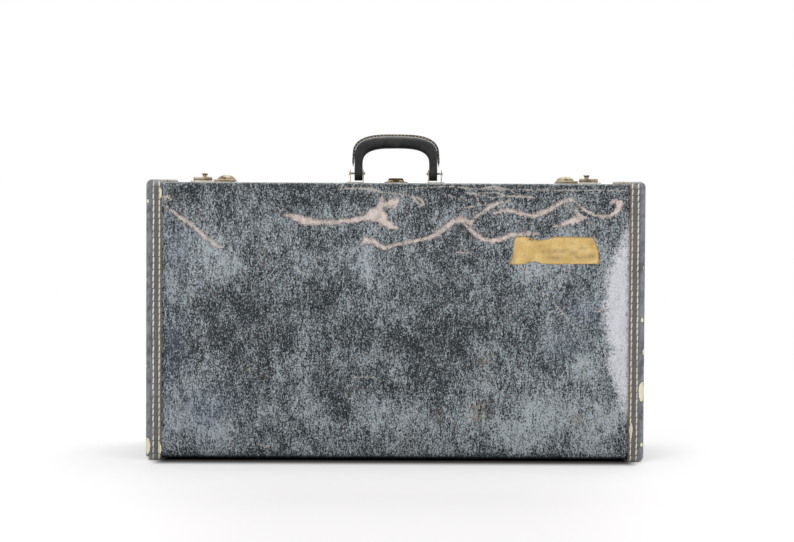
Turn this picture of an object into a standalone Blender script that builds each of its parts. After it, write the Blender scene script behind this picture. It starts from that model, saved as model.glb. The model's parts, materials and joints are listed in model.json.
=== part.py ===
"""A hard suitcase: two trays of covered board with stitched leather bindings on the ends, two stop
hinges along the bottom, two spring latches and a centre lock on top, and a folding handle.

Metres. +X is to the right, +Y to the back and +Z up. The origin is the point of the floor under the
middle of the case. The front tray is the lid, which opens forwards about the bottom of the seam.
"""

import math

import bmesh
import bpy
from mathutils import Matrix, Vector

# Whole case, measured over the leather bindings
CASE_WIDTH = 0.610
CASE_HEIGHT = 0.344
LID_DEPTH = 0.062
BASE_DEPTH = 0.116

# Clearances and cutters
GAP = 0.0003
SEAM_GAP = 0.0006
OVERRUN = 0.004

# Trays and what lines them
BOARD = 0.005
EDGE_RADIUS = 0.004
LINING = 0.001
FRAME_THICKNESS = 0.004
FRAME_SEAT = 0.025
LIP_REACH = 0.009
LIP_CLEARANCE = 0.0006
LINING_SETBACK = 0.0012

# Leather bindings
BINDING = 0.003
BINDING_FACE = 0.0195
BINDING_END = 0.014
BINDING_CORNER = 0.006
BINDING_SETBACK = 0.005

# Stop hinges
HINGE_FROM_END = 0.135
HINGE_LENGTH = 0.056
HINGE_LEAF = 0.001
HINGE_LEAF_DEPTH = 0.020
HINGE_KNUCKLE = 0.002
HINGE_PIN = 0.001
HINGE_HEAD = 0.0016
HINGE_HEAD_LENGTH = 0.0008
HINGE_CLEARANCE = 0.0005
STOP_CLEARANCE = 0.0004
LID_OPENING = math.radians(105)

# Handle: half widths at the legs, and heights above the case
GRIP_OUTER_HALF = 0.0525
GRIP_INNER_HALF = 0.0421
GRIP_OUTER_TOP = 0.0588
GRIP_INNER_TOP = 0.0437
OUTER_BEND_START = 0.030
INNER_BEND_START = 0.022
GRIP_THICKNESS = 0.0185
HANDLE_BACK_OF_SEAM = 0.030
PIVOT_HEIGHT = 0.0121
FIN_DEPTH = 0.0027
FIN_THICKNESS = 0.003
FIN_START = 0.0198

# Handle brackets and pins
BRACKET_SHEET = 0.0009
BRACKET_FOOT = 0.0042
BRACKET_PLATE_DEPTH = 0.020
BRACKET_CORNER = 0.003
EAR_WIDTH = 0.014
EAR_RADIUS = 0.005
EAR_OUTER_CLEARANCE = 0.0047
EAR_INNER_CLEARANCE = 0.0004
HANDLE_PIN = 0.0013
HANDLE_PIN_HEAD = 0.0023
HANDLE_PIN_ROUND = 0.0018
HANDLE_PIN_RIVET = 0.0008

# Side latches, from the seam backwards and the top of the board upwards
LATCH_FROM_END = 0.076
LATCH_WIDTH = 0.0566
LATCH_DEPTH = 0.028
LATCH_SHEET = 0.0012
LATCH_CORNER = 0.004
PLATE_SETBACK = 0.001
HOUSING_MARGIN = 0.0036
HOUSING_WIDTH = 0.0216
HOUSING_DEPTH = 0.024
HOUSING_HEIGHT = 0.0047
HOUSING_WALL = 0.0008
HOUSING_CORNER = 0.002
HOUSING_ROUND = 0.0012
KNOB_FROM_MOUTH = 0.0082
KNOB_RADIUS = 0.004
KNOB_HEIGHT = 0.0042
KNOB_LIFT = 0.0005
KNOB_SOCKET = 0.002
STEM_RADIUS = 0.0015
SLIDER_WIDTH = 0.007
SLIDER_SHEET = 0.001
SLIDER_NOSE = 0.0068
SLIDER_TAIL = 0.003
SLIDER_TAB = 0.0018
LATCH_TRAVEL = 0.006
CATCH_SHEET = 0.0004
CATCH_WIDTH = 0.005
CATCH_OVERLAP = 0.0031
SPRING_RADIUS = 0.0011
SPRING_WIRE = 0.0004
SPRING_TURNS = 6

# Hasps on the side latches and on the centre lock
HASP_SHEET = 0.0013
HASP_HINGE_SETBACK = 0.004
HASP_KNUCKLE = 0.0015
HASP_PIN = 0.0007
HASP_PIN_HEAD = 0.0012
HASP_PIN_HEAD_LENGTH = 0.0005
HASP_LEAF_DEPTH = 0.012
SIDE_HASP_WIDTH = 0.0247
SIDE_HASP_REACH = 0.026
SIDE_HASP_CORNER = 0.004
DOME_DEPTH = 0.021
DOME_HEIGHT = 0.0061
DOME_MARGIN = 0.0006
LIP_LENGTH = 0.0038
LIP_WIDTH = 0.004

# Centre lock
LOCK_PLATE_WIDTH = 0.0295
LOCK_PLATE_DEPTH = 0.034
LOCK_SHEET = 0.001
CENTRE_HASP_WIDTH = 0.0196
CENTRE_HASP_REACH = 0.011
CENTRE_CAP_HEIGHT = 0.0032
CENTRE_CAP_CORNER = 0.0028
CENTRE_CAP_ROUND = 0.0018
CENTRE_CAP_MARGIN = 0.0004
CENTRE_LIP_WIDTH = 0.008
CENTRE_LIP_LENGTH = 0.0049
LOCK_CASE_WIDTH = 0.020
LOCK_CASE_DEPTH = 0.015
LOCK_CASE_HEIGHT = 0.0033
LOCK_CASE_WALL = 0.0008
LOCK_CASE_CORNER = 0.0016
LOCK_CASE_ROUND = 0.001
LOCK_CASE_CLEARANCE = 0.0003
PLUG_RADIUS = 0.0035
PLUG_FROM_FRONT = 0.0058
PLUG_PROUD = 0.0007
CAM_REACH = 0.0084
CAM_WIDTH = 0.0024
CAM_SHEET = 0.0008
KEYHOLE_RADIUS = 0.0009
KEYHOLE_SLOT = 0.0007
KEYHOLE_LENGTH = 0.0036
KEYHOLE_DEPTH = 0.0015

# Smoothness of round and rounded forms
ROUND_SIDES = 16
SMALL_SIDES = 12
EDGE_SEGMENTS = 3
GRIP_STATIONS = 17
GRIP_SIDES = 14
SPRING_STEPS = 8
SHADE_ANGLE = math.radians(40)

# Shape of the handle's bends, as powers: 2 is an ellipse, and more is squarer
OUTER_BEND_POWER = 3.2
INNER_BEND_POWER = 3.0
LEG_SECTION_POWER = 4.5
GRIP_SECTION_POWER = 2.5
LEG_END_ANGLES = [math.radians(a) for a in (74, 50, 25, 0)]

# Knob outline from its dished top to its foot, as shares of its radius and height
KNOB_SHARES = (
    (0.00, 0.80),
    (0.45, 0.82),
    (0.72, 1.00),
    (0.92, 1.00),
    (1.00, 0.90),
    (1.00, 0.74),
    (0.74, 0.56),
    (0.68, 0.28),
    (0.86, 0.10),
    (0.86, 0.00),
)
# Length of a hinge's middle knuckle as a share of the hinge
MIDDLE_KNUCKLE_SHARE = 0.4

# Places that follow from the sizes above
SEAM_Y = (LID_DEPTH - BASE_DEPTH) / 2
FRONT_Y = -(LID_DEPTH + BASE_DEPTH) / 2
BACK_Y = (LID_DEPTH + BASE_DEPTH) / 2
INSET = BINDING + GAP
SHELL_HALF = CASE_WIDTH / 2 - INSET
SHELL_BOTTOM = INSET
SHELL_TOP = CASE_HEIGHT - INSET
HINGE_Z = SHELL_BOTTOM - GAP - HINGE_LEAF / 2
HINGE_X = CASE_WIDTH / 2 - HINGE_FROM_END
LATCH_X = CASE_WIDTH / 2 - LATCH_FROM_END
HANDLE_Y = SEAM_Y + HANDLE_BACK_OF_SEAM
PIVOT_Z = SHELL_TOP + PIVOT_HEIGHT
LIP_TIP_FROM_MOUTH = (
    LATCH_WIDTH - HOUSING_MARGIN - HOUSING_WIDTH - GAP - SIDE_HASP_WIDTH - LIP_LENGTH
)
ORIGIN = Vector((0, 0, 0))
LID, BASE = -1, 1
LEFT, RIGHT = -1, 1
SIDE_NAMES = {LEFT: "left", RIGHT: "right"}

# Finishes: colour, roughness, metallic
COVERING = ((0.075, 0.095, 0.115), 0.45, 0.0)
BOUND_LEATHER = ((0.045, 0.055, 0.062), 0.5, 0.0)
PAPER_LINING = ((0.42, 0.34, 0.22), 0.85, 0.0)
BASSWOOD = ((0.50, 0.36, 0.20), 0.7, 0.0)
GRIP_LEATHER = ((0.030, 0.032, 0.036), 0.42, 0.0)
NICKEL = ((0.62, 0.56, 0.44), 0.28, 1.0)
DARK_BRASS = ((0.11, 0.075, 0.03), 0.4, 1.0)
COPPERED_STEEL = ((0.42, 0.24, 0.15), 0.35, 1.0)
STEEL = ((0.45, 0.44, 0.42), 0.35, 1.0)

world_places = {}


def clear_scene():
    for old in list(bpy.data.objects):
        bpy.data.objects.remove(old, do_unlink=True)


def new_collection(name):
    made = bpy.data.collections.new(name)
    bpy.context.scene.collection.children.link(made)
    return made


clear_scene()
parts = new_collection("suitcase")
cutters = new_collection("suitcase_cutters")


def pivot(name, at, parent=None):
    """An empty on a joint's axis, which carries the pieces that move about it or along it."""
    empty = bpy.data.objects.new(name, None)
    parts.objects.link(empty)
    return place(empty, at, parent)


def place(thing, at, parent=None):
    """Put a thing at a world place, under the empty that carries it."""
    world_places[thing.name] = Vector(at)
    thing.parent = parent
    thing.location = Vector(at) - (world_places[parent.name] if parent else ORIGIN)
    return thing


def add_part(name, shape, at, finish, parent=None):
    """Make a bmesh or a mesh the sub-part of this name, with a material of its own."""
    thing = bpy.data.objects.new(name, as_mesh(name, shape))
    parts.objects.link(thing)
    thing.data.materials.append(new_material(name, *finish))
    return place(thing, at, parent)


def new_material(name, colour, roughness, metallic):
    made = bpy.data.materials.new(name)
    made.use_nodes = True
    shader = made.node_tree.nodes["Principled BSDF"]
    shader.inputs["Base Color"].default_value = (*colour, 1)
    shader.inputs["Roughness"].default_value = roughness
    shader.inputs["Metallic"].default_value = metallic
    return made


def as_mesh(name, shape):
    if isinstance(shape, bpy.types.Mesh):
        shape.name = name
        return shape
    mesh = bpy.data.meshes.new(name)
    shape.to_mesh(mesh)
    shape.free()
    return mesh


def combine(target, shape, label, operation="DIFFERENCE", at=None):
    """Cut a shape out of a part, or join it on. The shape is in the part's own frame unless placed."""
    name = f"{target.name}_{label}"
    tool = bpy.data.objects.new(name, as_mesh(name, shape))
    cutters.objects.link(tool)
    tool.location = world_places[target.name] if at is None else at
    tool.hide_render = True
    tool.display_type = "WIRE"
    step = target.modifiers.new(label, "BOOLEAN")
    step.operation = operation
    step.solver = "EXACT"
    step.object = tool


def join(target, shape, label):
    combine(target, shape, label, "UNION")


def shade_round(target):
    target.data.shade_smooth()
    target.data.set_sharp_from_angle(angle=SHADE_ANGLE)


def box(low, high):
    """A box between two corners, given in any order."""
    low, high = Vector(low), Vector(high)
    size = Vector(abs(side) for side in high - low)
    bm = bmesh.new()
    bmesh.ops.create_cube(bm, size=1)
    bmesh.ops.scale(bm, vec=size, verts=bm.verts)
    bmesh.ops.translate(bm, vec=(low + high) / 2, verts=bm.verts)
    return bm


def round_edges(bm, edges, radius, segments):
    bmesh.ops.bevel(
        bm, geom=edges, offset=radius, segments=segments, profile=0.5, affect="EDGES"
    )
    return bm


def along(edge, axis):
    """Does an edge run along this axis?"""
    run = edge.verts[1].co - edge.verts[0].co
    return abs(run[axis]) > run.length / 2


def slab(low, high, axis, corner, segments=EDGE_SEGMENTS):
    """A box with the four corners round one axis rounded, as a stamped plate has."""
    bm = box(low, high)
    return round_edges(bm, [e for e in bm.edges if along(e, axis)], corner, segments)


def pressed_box(low, high, corner, top_round):
    """A slab with its top edge rounded over, as a drawn metal cap has."""
    bm = slab(low, high, 2, corner)
    top = max(v.co.z for v in bm.verts)
    rim = [e for e in bm.edges if all(v.co.z > top - GAP for v in e.verts)]
    return round_edges(bm, rim, top_round, 2)


def rod(radius, start, end, centre, axis=0, sides=ROUND_SIDES):
    """A cylinder from start to end along an axis. centre is its place on the two other axes."""
    turn = {
        0: Matrix.Rotation(math.pi / 2, 3, "Y"),
        1: Matrix.Rotation(math.pi / 2, 3, "X"),
        2: Matrix.Identity(3),
    }
    middle = list(centre)
    middle.insert(axis, (start + end) / 2)
    bm = bmesh.new()
    bmesh.ops.create_cone(
        bm,
        cap_ends=True,
        segments=sides,
        radius1=radius,
        radius2=radius,
        depth=abs(end - start),
    )
    bmesh.ops.rotate(bm, matrix=turn[axis], verts=bm.verts)
    bmesh.ops.translate(bm, vec=middle, verts=bm.verts)
    return bm


def turned(name, profile, at, finish, parent=None, turn=None, sides=ROUND_SIDES):
    """A Screw of a profile of (radius, height) points that runs down its outer side."""
    bm = bmesh.new()
    points = [bm.verts.new((radius, 0, height)) for radius, height in profile]
    for upper, lower in zip(points, points[1:]):
        bm.edges.new((upper, lower))
    piece = add_part(name, bm, at, finish, parent)
    screw = piece.modifiers.new("turn", "SCREW")
    screw.steps = sides
    screw.render_steps = sides
    screw.use_merge_vertices = True
    screw.merge_threshold = GAP / 30
    if turn:
        piece.rotation_euler = turn
    return piece


def stamped(outline, thickness, frame):
    """A flat outline cut from sheet: a 2D curve with depth, made a mesh and turned into place."""
    curve = bpy.data.curves.new("outline", "CURVE")
    curve.dimensions = "2D"
    curve.fill_mode = "BOTH"
    curve.extrude = thickness / 2
    spline = curve.splines.new("POLY")
    spline.points.add(len(outline) - 1)
    for point, (across, up) in zip(spline.points, outline):
        point.co = (across, up, 0, 1)
    spline.use_cyclic_u = True
    return mesh_from_curve(curve, frame)


def mesh_from_curve(curve, frame):
    holder = bpy.data.objects.new("outline", curve)
    cutters.objects.link(holder)
    graph = bpy.context.evaluated_depsgraph_get()
    mesh = bpy.data.meshes.new_from_object(holder.evaluated_get(graph))
    bpy.data.objects.remove(holder, do_unlink=True)
    bm = bmesh.new()
    bm.from_mesh(mesh)
    bmesh.ops.remove_doubles(bm, verts=bm.verts, dist=GAP / 30)
    bm.transform(frame)
    bm.to_mesh(mesh)
    bm.free()
    return mesh


def tray_block(half, grow, radius, past_seam=0.0):
    """The block of one tray, grown all round but on the seam, with its outer edges rounded."""
    wall = BACK_Y if half == BASE else FRONT_Y
    seam = SEAM_Y + half * (SEAM_GAP / 2 - past_seam)
    far = wall - half * (INSET - grow)
    low = (-SHELL_HALF - grow, seam, SHELL_BOTTOM - grow)
    high = (SHELL_HALF + grow, far, SHELL_TOP + grow)
    bm = box(low, high)
    if radius:
        on_seam = [v for v in bm.verts if abs(v.co.y - seam) < GAP / 2]
        outer = [e for e in bm.edges if not all(v in on_seam for v in e.verts)]
        round_edges(bm, outer, radius, EDGE_SEGMENTS)
    return bm


def make_shell(name, half, parent=None):
    """A tray of board with its covering: hollow, open at the seam, notched for the hinge knuckles."""
    shell = add_part(
        name, tray_block(half, 0, EDGE_RADIUS), ORIGIN, COVERING, parent
    )
    combine(shell, tray_block(half, -BOARD, 0, OVERRUN), "hollow")
    reach = HINGE_LENGTH / 2 + HINGE_HEAD_LENGTH + 2 * HINGE_CLEARANCE
    for side in (LEFT, RIGHT):
        middle = side * HINGE_X
        notch = rod(
            HINGE_KNUCKLE + HINGE_CLEARANCE,
            middle - reach,
            middle + reach,
            (SEAM_Y, HINGE_Z),
        )
        combine(shell, notch, f"{SIDE_NAMES[side]}_hinge_notch")


def make_lining(name, half, rim_y, parent=None):
    """A thin tray that lines the board: an open surface with Solidify."""
    wall = BACK_Y if half == BASE else FRONT_Y
    inset = BOARD + GAP
    bm = box(
        (-SHELL_HALF + inset, rim_y, SHELL_BOTTOM + inset),
        (SHELL_HALF - inset, wall - half * (INSET + inset), SHELL_TOP - inset),
    )
    mouth = [f for f in bm.faces if f.normal.y * half < -0.5]
    bmesh.ops.delete(bm, geom=mouth, context="FACES_ONLY")
    lining = add_part(name, bm, ORIGIN, PAPER_LINING, parent)
    wall_step = lining.modifiers.new("sheet", "SOLIDIFY")
    wall_step.thickness = LINING
    wall_step.offset = -1
    wall_step.use_even_offset = True


def make_mouth_frame():
    """The wooden frame inside the base's mouth. Its lip reaches into the lid and lines up the halves."""
    inset = BOARD + LIP_CLEARANCE
    front, back = SEAM_Y - LIP_REACH, SEAM_Y + FRAME_SEAT
    frame = add_part(
        "mouth_frame",
        box(
            (-SHELL_HALF + inset, front, SHELL_BOTTOM + inset),
            (SHELL_HALF - inset, back, SHELL_TOP - inset),
        ),
        ORIGIN,
        BASSWOOD,
    )
    inset += FRAME_THICKNESS
    opening = box(
        (-SHELL_HALF + inset, front - OVERRUN, SHELL_BOTTOM + inset),
        (SHELL_HALF - inset, back + OVERRUN, SHELL_TOP - inset),
    )
    combine(frame, opening, "opening")


def make_binding(name, half, end, parent=None):
    """A leather strip round one end of a tray: over the face, the top and the bottom, and folded
    onto the end wall."""
    binding = add_part(
        name,
        tray_block(half, INSET, EDGE_RADIUS + INSET),
        ORIGIN,
        BOUND_LEATHER,
        parent,
    )
    room = tray_block(half, GAP, EDGE_RADIUS + GAP, OVERRUN)
    combine(binding, room, "room_for_board")
    wall = BACK_Y if half == BASE else FRONT_Y
    outside = CASE_WIDTH / 2 + OVERRUN
    middle = box(
        (-end * outside, wall + half * OVERRUN, -OVERRUN),
        (end * (CASE_WIDTH / 2 - BINDING_FACE), SEAM_Y - half * OVERRUN, CASE_HEIGHT + OVERRUN),
    )
    combine(binding, middle, "middle")
    window = slab(
        (end * (SHELL_HALF - OVERRUN), wall - half * BINDING_END, BINDING_END),
        (end * outside, SEAM_Y - half * (BINDING_CORNER + OVERRUN), CASE_HEIGHT - BINDING_END),
        0,
        BINDING_CORNER,
    )
    combine(binding, window, "end_window")
    seam = box(
        (-outside, SEAM_Y + half * BINDING_SETBACK, -OVERRUN),
        (outside, SEAM_Y - half * OVERRUN, CASE_HEIGHT + OVERRUN),
    )
    combine(binding, seam, "seam_end")


def knuckle_spans(length, owner):
    """The stretches of a hinge's barrel that belong to the middle leaf or to the outer leaf."""
    middle = length * MIDDLE_KNUCKLE_SHARE / 2
    if owner == "middle":
        return [(-middle + GAP / 2, middle - GAP / 2)]
    return [(-length / 2, -middle - GAP / 2), (middle + GAP / 2, length / 2)]


def make_hinge_leaf(name, half, middle, owner, parent=None):
    """A leaf under the board with a stop lip turned down beside the barrel. The two lips meet when
    the lid is fully open."""
    stop = HINGE_KNUCKLE / math.tan((math.pi - LID_OPENING) / 2) + STOP_CLEARANCE
    reach = HINGE_LENGTH / 2
    leaf = add_part(
        name,
        box(
            (-reach, half * stop, -HINGE_LEAF / 2),
            (reach, half * HINGE_LEAF_DEPTH, HINGE_LEAF / 2),
        ),
        (middle, SEAM_Y, HINGE_Z),
        NICKEL,
        parent,
    )
    lip = box(
        (-reach + GAP, half * (stop + GAP / 2), -HINGE_KNUCKLE),
        (reach - GAP, half * (stop + HINGE_LEAF), 0),
    )
    join(leaf, lip, "stop_lip")
    for number, (start, end) in enumerate(knuckle_spans(HINGE_LENGTH, owner)):
        web = box(
            (start, 0, -HINGE_LEAF / 2 + GAP / 3),
            (end, half * (stop + HINGE_LEAF / 2), HINGE_LEAF / 2 - GAP / 3),
        )
        join(leaf, web, f"web_{number}")
        join(leaf, rod(HINGE_KNUCKLE, start, end, (0, 0)), f"knuckle_{number}")
    bore = rod(HINGE_PIN + GAP, -reach - OVERRUN, reach + OVERRUN, (0, 0), sides=SMALL_SIDES)
    combine(leaf, bore, "bore")


def pin_profile(shaft, head, length, head_length):
    """A headed pin about its middle, from its top end down."""
    half = length / 2
    return [
        (0, half + head_length),
        (head, half + head_length),
        (head, half),
        (shaft, half),
        (shaft, -half),
        (head, -half),
        (head, -half - head_length),
        (0, -half - head_length),
    ]


def make_hinges(lid_pivot):
    for side in (LEFT, RIGHT):
        name = SIDE_NAMES[side]
        middle = side * HINGE_X
        make_hinge_leaf(f"{name}_hinge_base_leaf", BASE, middle, "outer")
        make_hinge_leaf(f"{name}_hinge_lid_leaf", LID, middle, "middle", lid_pivot)
        profile = pin_profile(
            HINGE_PIN, HINGE_HEAD, HINGE_LENGTH + 2 * GAP, HINGE_HEAD_LENGTH
        )
        turned(
            f"{name}_hinge_pin",
            profile,
            (middle, SEAM_Y, HINGE_Z),
            STEEL,
            turn=(0, math.pi / 2, 0),
            sides=SMALL_SIDES,
        )


def power(value, exponent):
    """A signed power, for superellipses."""
    return math.copysign(abs(value) ** exponent, value)


def bend_point(angle, half_width, start, top, shape):
    """A point of the handle's outline in its own plane, from the left (180 degrees) to the right."""
    across = half_width * power(math.cos(angle), 2 / shape)
    up = start + (top - start) * power(math.sin(angle), 2 / shape)
    return Vector((across, 0, up - PIVOT_HEIGHT))


def outer_point(angle):
    return bend_point(
        angle, GRIP_OUTER_HALF, OUTER_BEND_START, GRIP_OUTER_TOP, OUTER_BEND_POWER
    )


def inner_point(angle):
    return bend_point(
        angle, GRIP_INNER_HALF, INNER_BEND_START, GRIP_INNER_TOP, INNER_BEND_POWER
    )


def bend_angles():
    """Angles over the bend, left to right."""
    return [math.pi * (1 - n / (GRIP_STATIONS - 1)) for n in range(GRIP_STATIONS)]


def section(inner, outer, half_thickness, shape):
    """A closed ring of points between the handle's inner and outer outline."""
    middle = (inner + outer) / 2
    ring = []
    for n in range(GRIP_SIDES):
        angle = 2 * math.pi * (n + 0.5) / GRIP_SIDES
        depth = power(math.cos(angle), 2 / shape)
        side = power(math.sin(angle), 2 / shape)
        ring.append(middle + (outer - middle) * depth + Vector((0, half_thickness * side, 0)))
    return ring


def leg_sections(side):
    """The half-round foot of one leg, from its end up to the pivot."""
    rings = []
    for angle in LEG_END_ANGLES:
        down = GRIP_THICKNESS / 2 * math.sin(angle)
        inner = Vector((side * GRIP_INNER_HALF, 0, -down))
        outer = Vector((side * GRIP_OUTER_HALF, 0, -down))
        rings.append(section(inner, outer, GRIP_THICKNESS / 2 * math.cos(angle), LEG_SECTION_POWER))
    return rings


def bend_sections():
    rings = []
    for angle in bend_angles():
        blend = math.sin(angle)
        shape = LEG_SECTION_POWER + (GRIP_SECTION_POWER - LEG_SECTION_POWER) * blend
        rings.append(
            section(inner_point(angle), outer_point(angle), GRIP_THICKNESS / 2, shape)
        )
    return rings


def loft(rings):
    """Skin a row of rings of points, and close both ends."""
    bm = bmesh.new()
    rows = [[bm.verts.new(point) for point in ring] for ring in rings]
    for row, after in zip(rows, rows[1:]):
        for n in range(len(row)):
            m = (n + 1) % len(row)
            bm.faces.new((row[n], row[m], after[m], after[n]))
    bm.faces.new(rows[0])
    bm.faces.new(rows[-1])
    bmesh.ops.recalc_face_normals(bm, faces=bm.faces)
    return bm


def make_handle(handle_pivot):
    """The padded grip with its half-round legs, and the stitched seam that stands up round it."""
    at = (0, HANDLE_Y, PIVOT_Z)
    rings = leg_sections(LEFT) + bend_sections() + leg_sections(RIGHT)[::-1]
    grip = add_part("handle_grip", loft(rings), at, GRIP_LEATHER, handle_pivot)
    shade_round(grip)
    for side in (LEFT, RIGHT):
        bore = rod(
            HANDLE_PIN + GAP,
            side * (GRIP_INNER_HALF - OVERRUN),
            side * (GRIP_OUTER_HALF + OVERRUN),
            (0, 0),
            sides=SMALL_SIDES,
        )
        combine(grip, bore, f"{SIDE_NAMES[side]}_bore")
    fin = add_part("handle_seam_fin", loft(fin_rings()), at, GRIP_LEATHER, handle_pivot)
    shade_round(fin)


def fin_rings():
    """Square sections of the seam, standing out from the grip's outer outline."""
    start = Vector((-GRIP_OUTER_HALF, 0, FIN_START - PIVOT_HEIGHT))
    spine = [start] + [outer_point(angle) for angle in bend_angles()]
    spine.append(Vector((-start.x, 0, start.z)))
    rings = []
    for n, point in enumerate(spine):
        before, after = spine[max(n - 1, 0)], spine[min(n + 1, len(spine) - 1)]
        run = (after - before).normalized()
        out = Vector((-run.z, 0, run.x))
        low, high = point + out * GAP, point + out * (GAP + FIN_DEPTH)
        side = Vector((0, FIN_THICKNESS / 2, 0))
        rings.append([low - side, low + side, high + side, high - side])
    return rings


def ear_outline():
    """A bracket's ear in the YZ plane, seen from the pivot: straight sides and a round top."""
    foot = BRACKET_SHEET / 2 + GAP - PIVOT_HEIGHT
    steps = SMALL_SIDES // 2
    top = [
        (EAR_RADIUS * math.cos(math.pi * n / steps), EAR_RADIUS * math.sin(math.pi * n / steps))
        for n in range(steps + 1)
    ]
    return [(-EAR_WIDTH / 2, foot), (EAR_WIDTH / 2, foot)] + top


def make_bracket(side):
    """A stirrup of bent sheet: a foot plate, an ear against the leg's inside, and one stood off
    outside it. The pin has a round head inside and a rivet head outside."""
    name = SIDE_NAMES[side]
    at = (0, HANDLE_Y, PIVOT_Z)
    inner = GRIP_INNER_HALF - EAR_INNER_CLEARANCE
    outer = GRIP_OUTER_HALF + EAR_OUTER_CLEARANCE
    bottom = GAP - PIVOT_HEIGHT
    plate = slab(
        (side * (inner - BRACKET_SHEET - GAP), -BRACKET_PLATE_DEPTH / 2, bottom),
        (side * (outer + BRACKET_FOOT), BRACKET_PLATE_DEPTH / 2, bottom + BRACKET_SHEET),
        2,
        BRACKET_CORNER,
    )
    bracket = add_part(f"{name}_handle_bracket", plate, at, COPPERED_STEEL)
    for label, middle in (
        ("inner_ear", inner - BRACKET_SHEET / 2),
        ("outer_ear", outer + BRACKET_SHEET / 2),
    ):
        upright = Matrix(
            ((0, 0, 1, side * middle), (1, 0, 0, 0), (0, 1, 0, 0), (0, 0, 0, 1))
        )
        join(bracket, stamped(ear_outline(), BRACKET_SHEET, upright), label)
    reach = side * (outer + OVERRUN)
    bore = rod(HANDLE_PIN + GAP, side * (inner - OVERRUN), reach, (0, 0), sides=SMALL_SIDES)
    combine(bracket, bore, "bore")

    inside = inner - BRACKET_SHEET - GAP
    outside = outer + BRACKET_SHEET + GAP
    dome = [
        (HANDLE_PIN_HEAD * math.sin(a), HANDLE_PIN_ROUND * math.cos(a))
        for a in (0, math.pi / 6, math.pi / 3, math.pi / 2)
    ]
    profile = [(radius, height - inside) for radius, height in dome]
    profile += [
        (HANDLE_PIN, -inside),
        (HANDLE_PIN, -outside),
        (HANDLE_PIN_HEAD, -outside),
        (HANDLE_PIN_HEAD, -outside - HANDLE_PIN_RIVET),
        (0, -outside - HANDLE_PIN_RIVET),
    ]
    turned(
        f"{name}_handle_pin",
        profile,
        at,
        STEEL,
        turn=(0, -side * math.pi / 2, 0),
        sides=SMALL_SIDES,
    )


def make_hasp_leaf(prefix, at, width, leaf_width, axis_height, sheet, parent, finish):
    """The lid's half of a hasp's hinge: a plate with two outer knuckles."""
    clear = HASP_KNUCKLE + 2 * GAP
    low, high = GAP - axis_height, GAP + sheet - axis_height
    plate = slab(
        (-leaf_width / 2, -HASP_LEAF_DEPTH, low),
        (leaf_width / 2, -clear, high),
        2,
        HASP_KNUCKLE,
        2,
    )
    leaf = add_part(f"{prefix}_hasp_leaf", plate, at, finish, parent)
    for number, (start, end) in enumerate(knuckle_spans(width, "outer")):
        web = box((start, -clear - HASP_KNUCKLE, low + GAP / 3), (end, 0, high - GAP / 3))
        join(leaf, web, f"web_{number}")
        join(leaf, rod(HASP_KNUCKLE, start, end, (0, 0), sides=SMALL_SIDES), f"knuckle_{number}")
    cut_hasp_bore(leaf, width)


def cut_hasp_bore(target, width):
    reach = width / 2 + OVERRUN
    combine(target, rod(HASP_PIN + GAP, -reach, reach, (0, 0), sides=SMALL_SIDES), "bore")


def make_hasp_pin(prefix, at, width, parent):
    turned(
        f"{prefix}_hasp_pin",
        pin_profile(HASP_PIN, HASP_PIN_HEAD, width + 2 * GAP, HASP_PIN_HEAD_LENGTH),
        at,
        STEEL,
        parent,
        turn=(0, math.pi / 2, 0),
        sides=SMALL_SIDES,
    )


def add_hasp_plate(prefix, at, width, reach, corner, parent, finish):
    """A hasp's plate, whose middle knuckle turns on the pin. at is on the hinge's axis."""
    clear = HASP_KNUCKLE + GAP
    plate = slab(
        (-width / 2, clear, -HASP_SHEET / 2), (width / 2, reach, HASP_SHEET / 2), 2, corner, 2
    )
    hasp = add_part(f"{prefix}_hasp", plate, at, finish, parent)
    start, end = knuckle_spans(width, "middle")[0]
    half_sheet = HASP_SHEET / 2 - GAP / 3
    web = box((start, 0, -half_sheet), (end, clear + corner, half_sheet))
    join(hasp, web, "web")
    join(hasp, rod(HASP_KNUCKLE, start, end, (0, 0), sides=SMALL_SIDES), "knuckle")
    cut_hasp_bore(hasp, width)
    return hasp


def half_dome(half_width, half_depth, height, middle):
    """The upper half of an ellipsoid on the hasp's mid-plane."""
    bm = bmesh.new()
    bmesh.ops.create_uvsphere(bm, u_segments=20, v_segments=10, radius=1)
    bmesh.ops.scale(bm, vec=(half_width, half_depth, height), verts=bm.verts)
    cut = bmesh.ops.bisect_plane(
        bm,
        geom=bm.verts[:] + bm.edges[:] + bm.faces[:],
        dist=GAP / 30,
        plane_co=(0, 0, 0),
        plane_no=(0, 0, 1),
        clear_inner=True,
    )
    rim = [e for e in cut["geom_cut"] if isinstance(e, bmesh.types.BMEdge)]
    bmesh.ops.edgeloop_fill(bm, edges=rim)
    bmesh.ops.recalc_face_normals(bm, faces=bm.faces)
    bmesh.ops.translate(bm, vec=(0, middle, 0), verts=bm.verts)
    return bm


def latch_span(side, outboard, back, up):
    """A box's corners in a side latch's frame, from its spans outboard, backwards and upwards."""
    return (
        (side * outboard[0], back[0], up[0]),
        (side * outboard[1], back[1], up[1]),
    )


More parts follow.
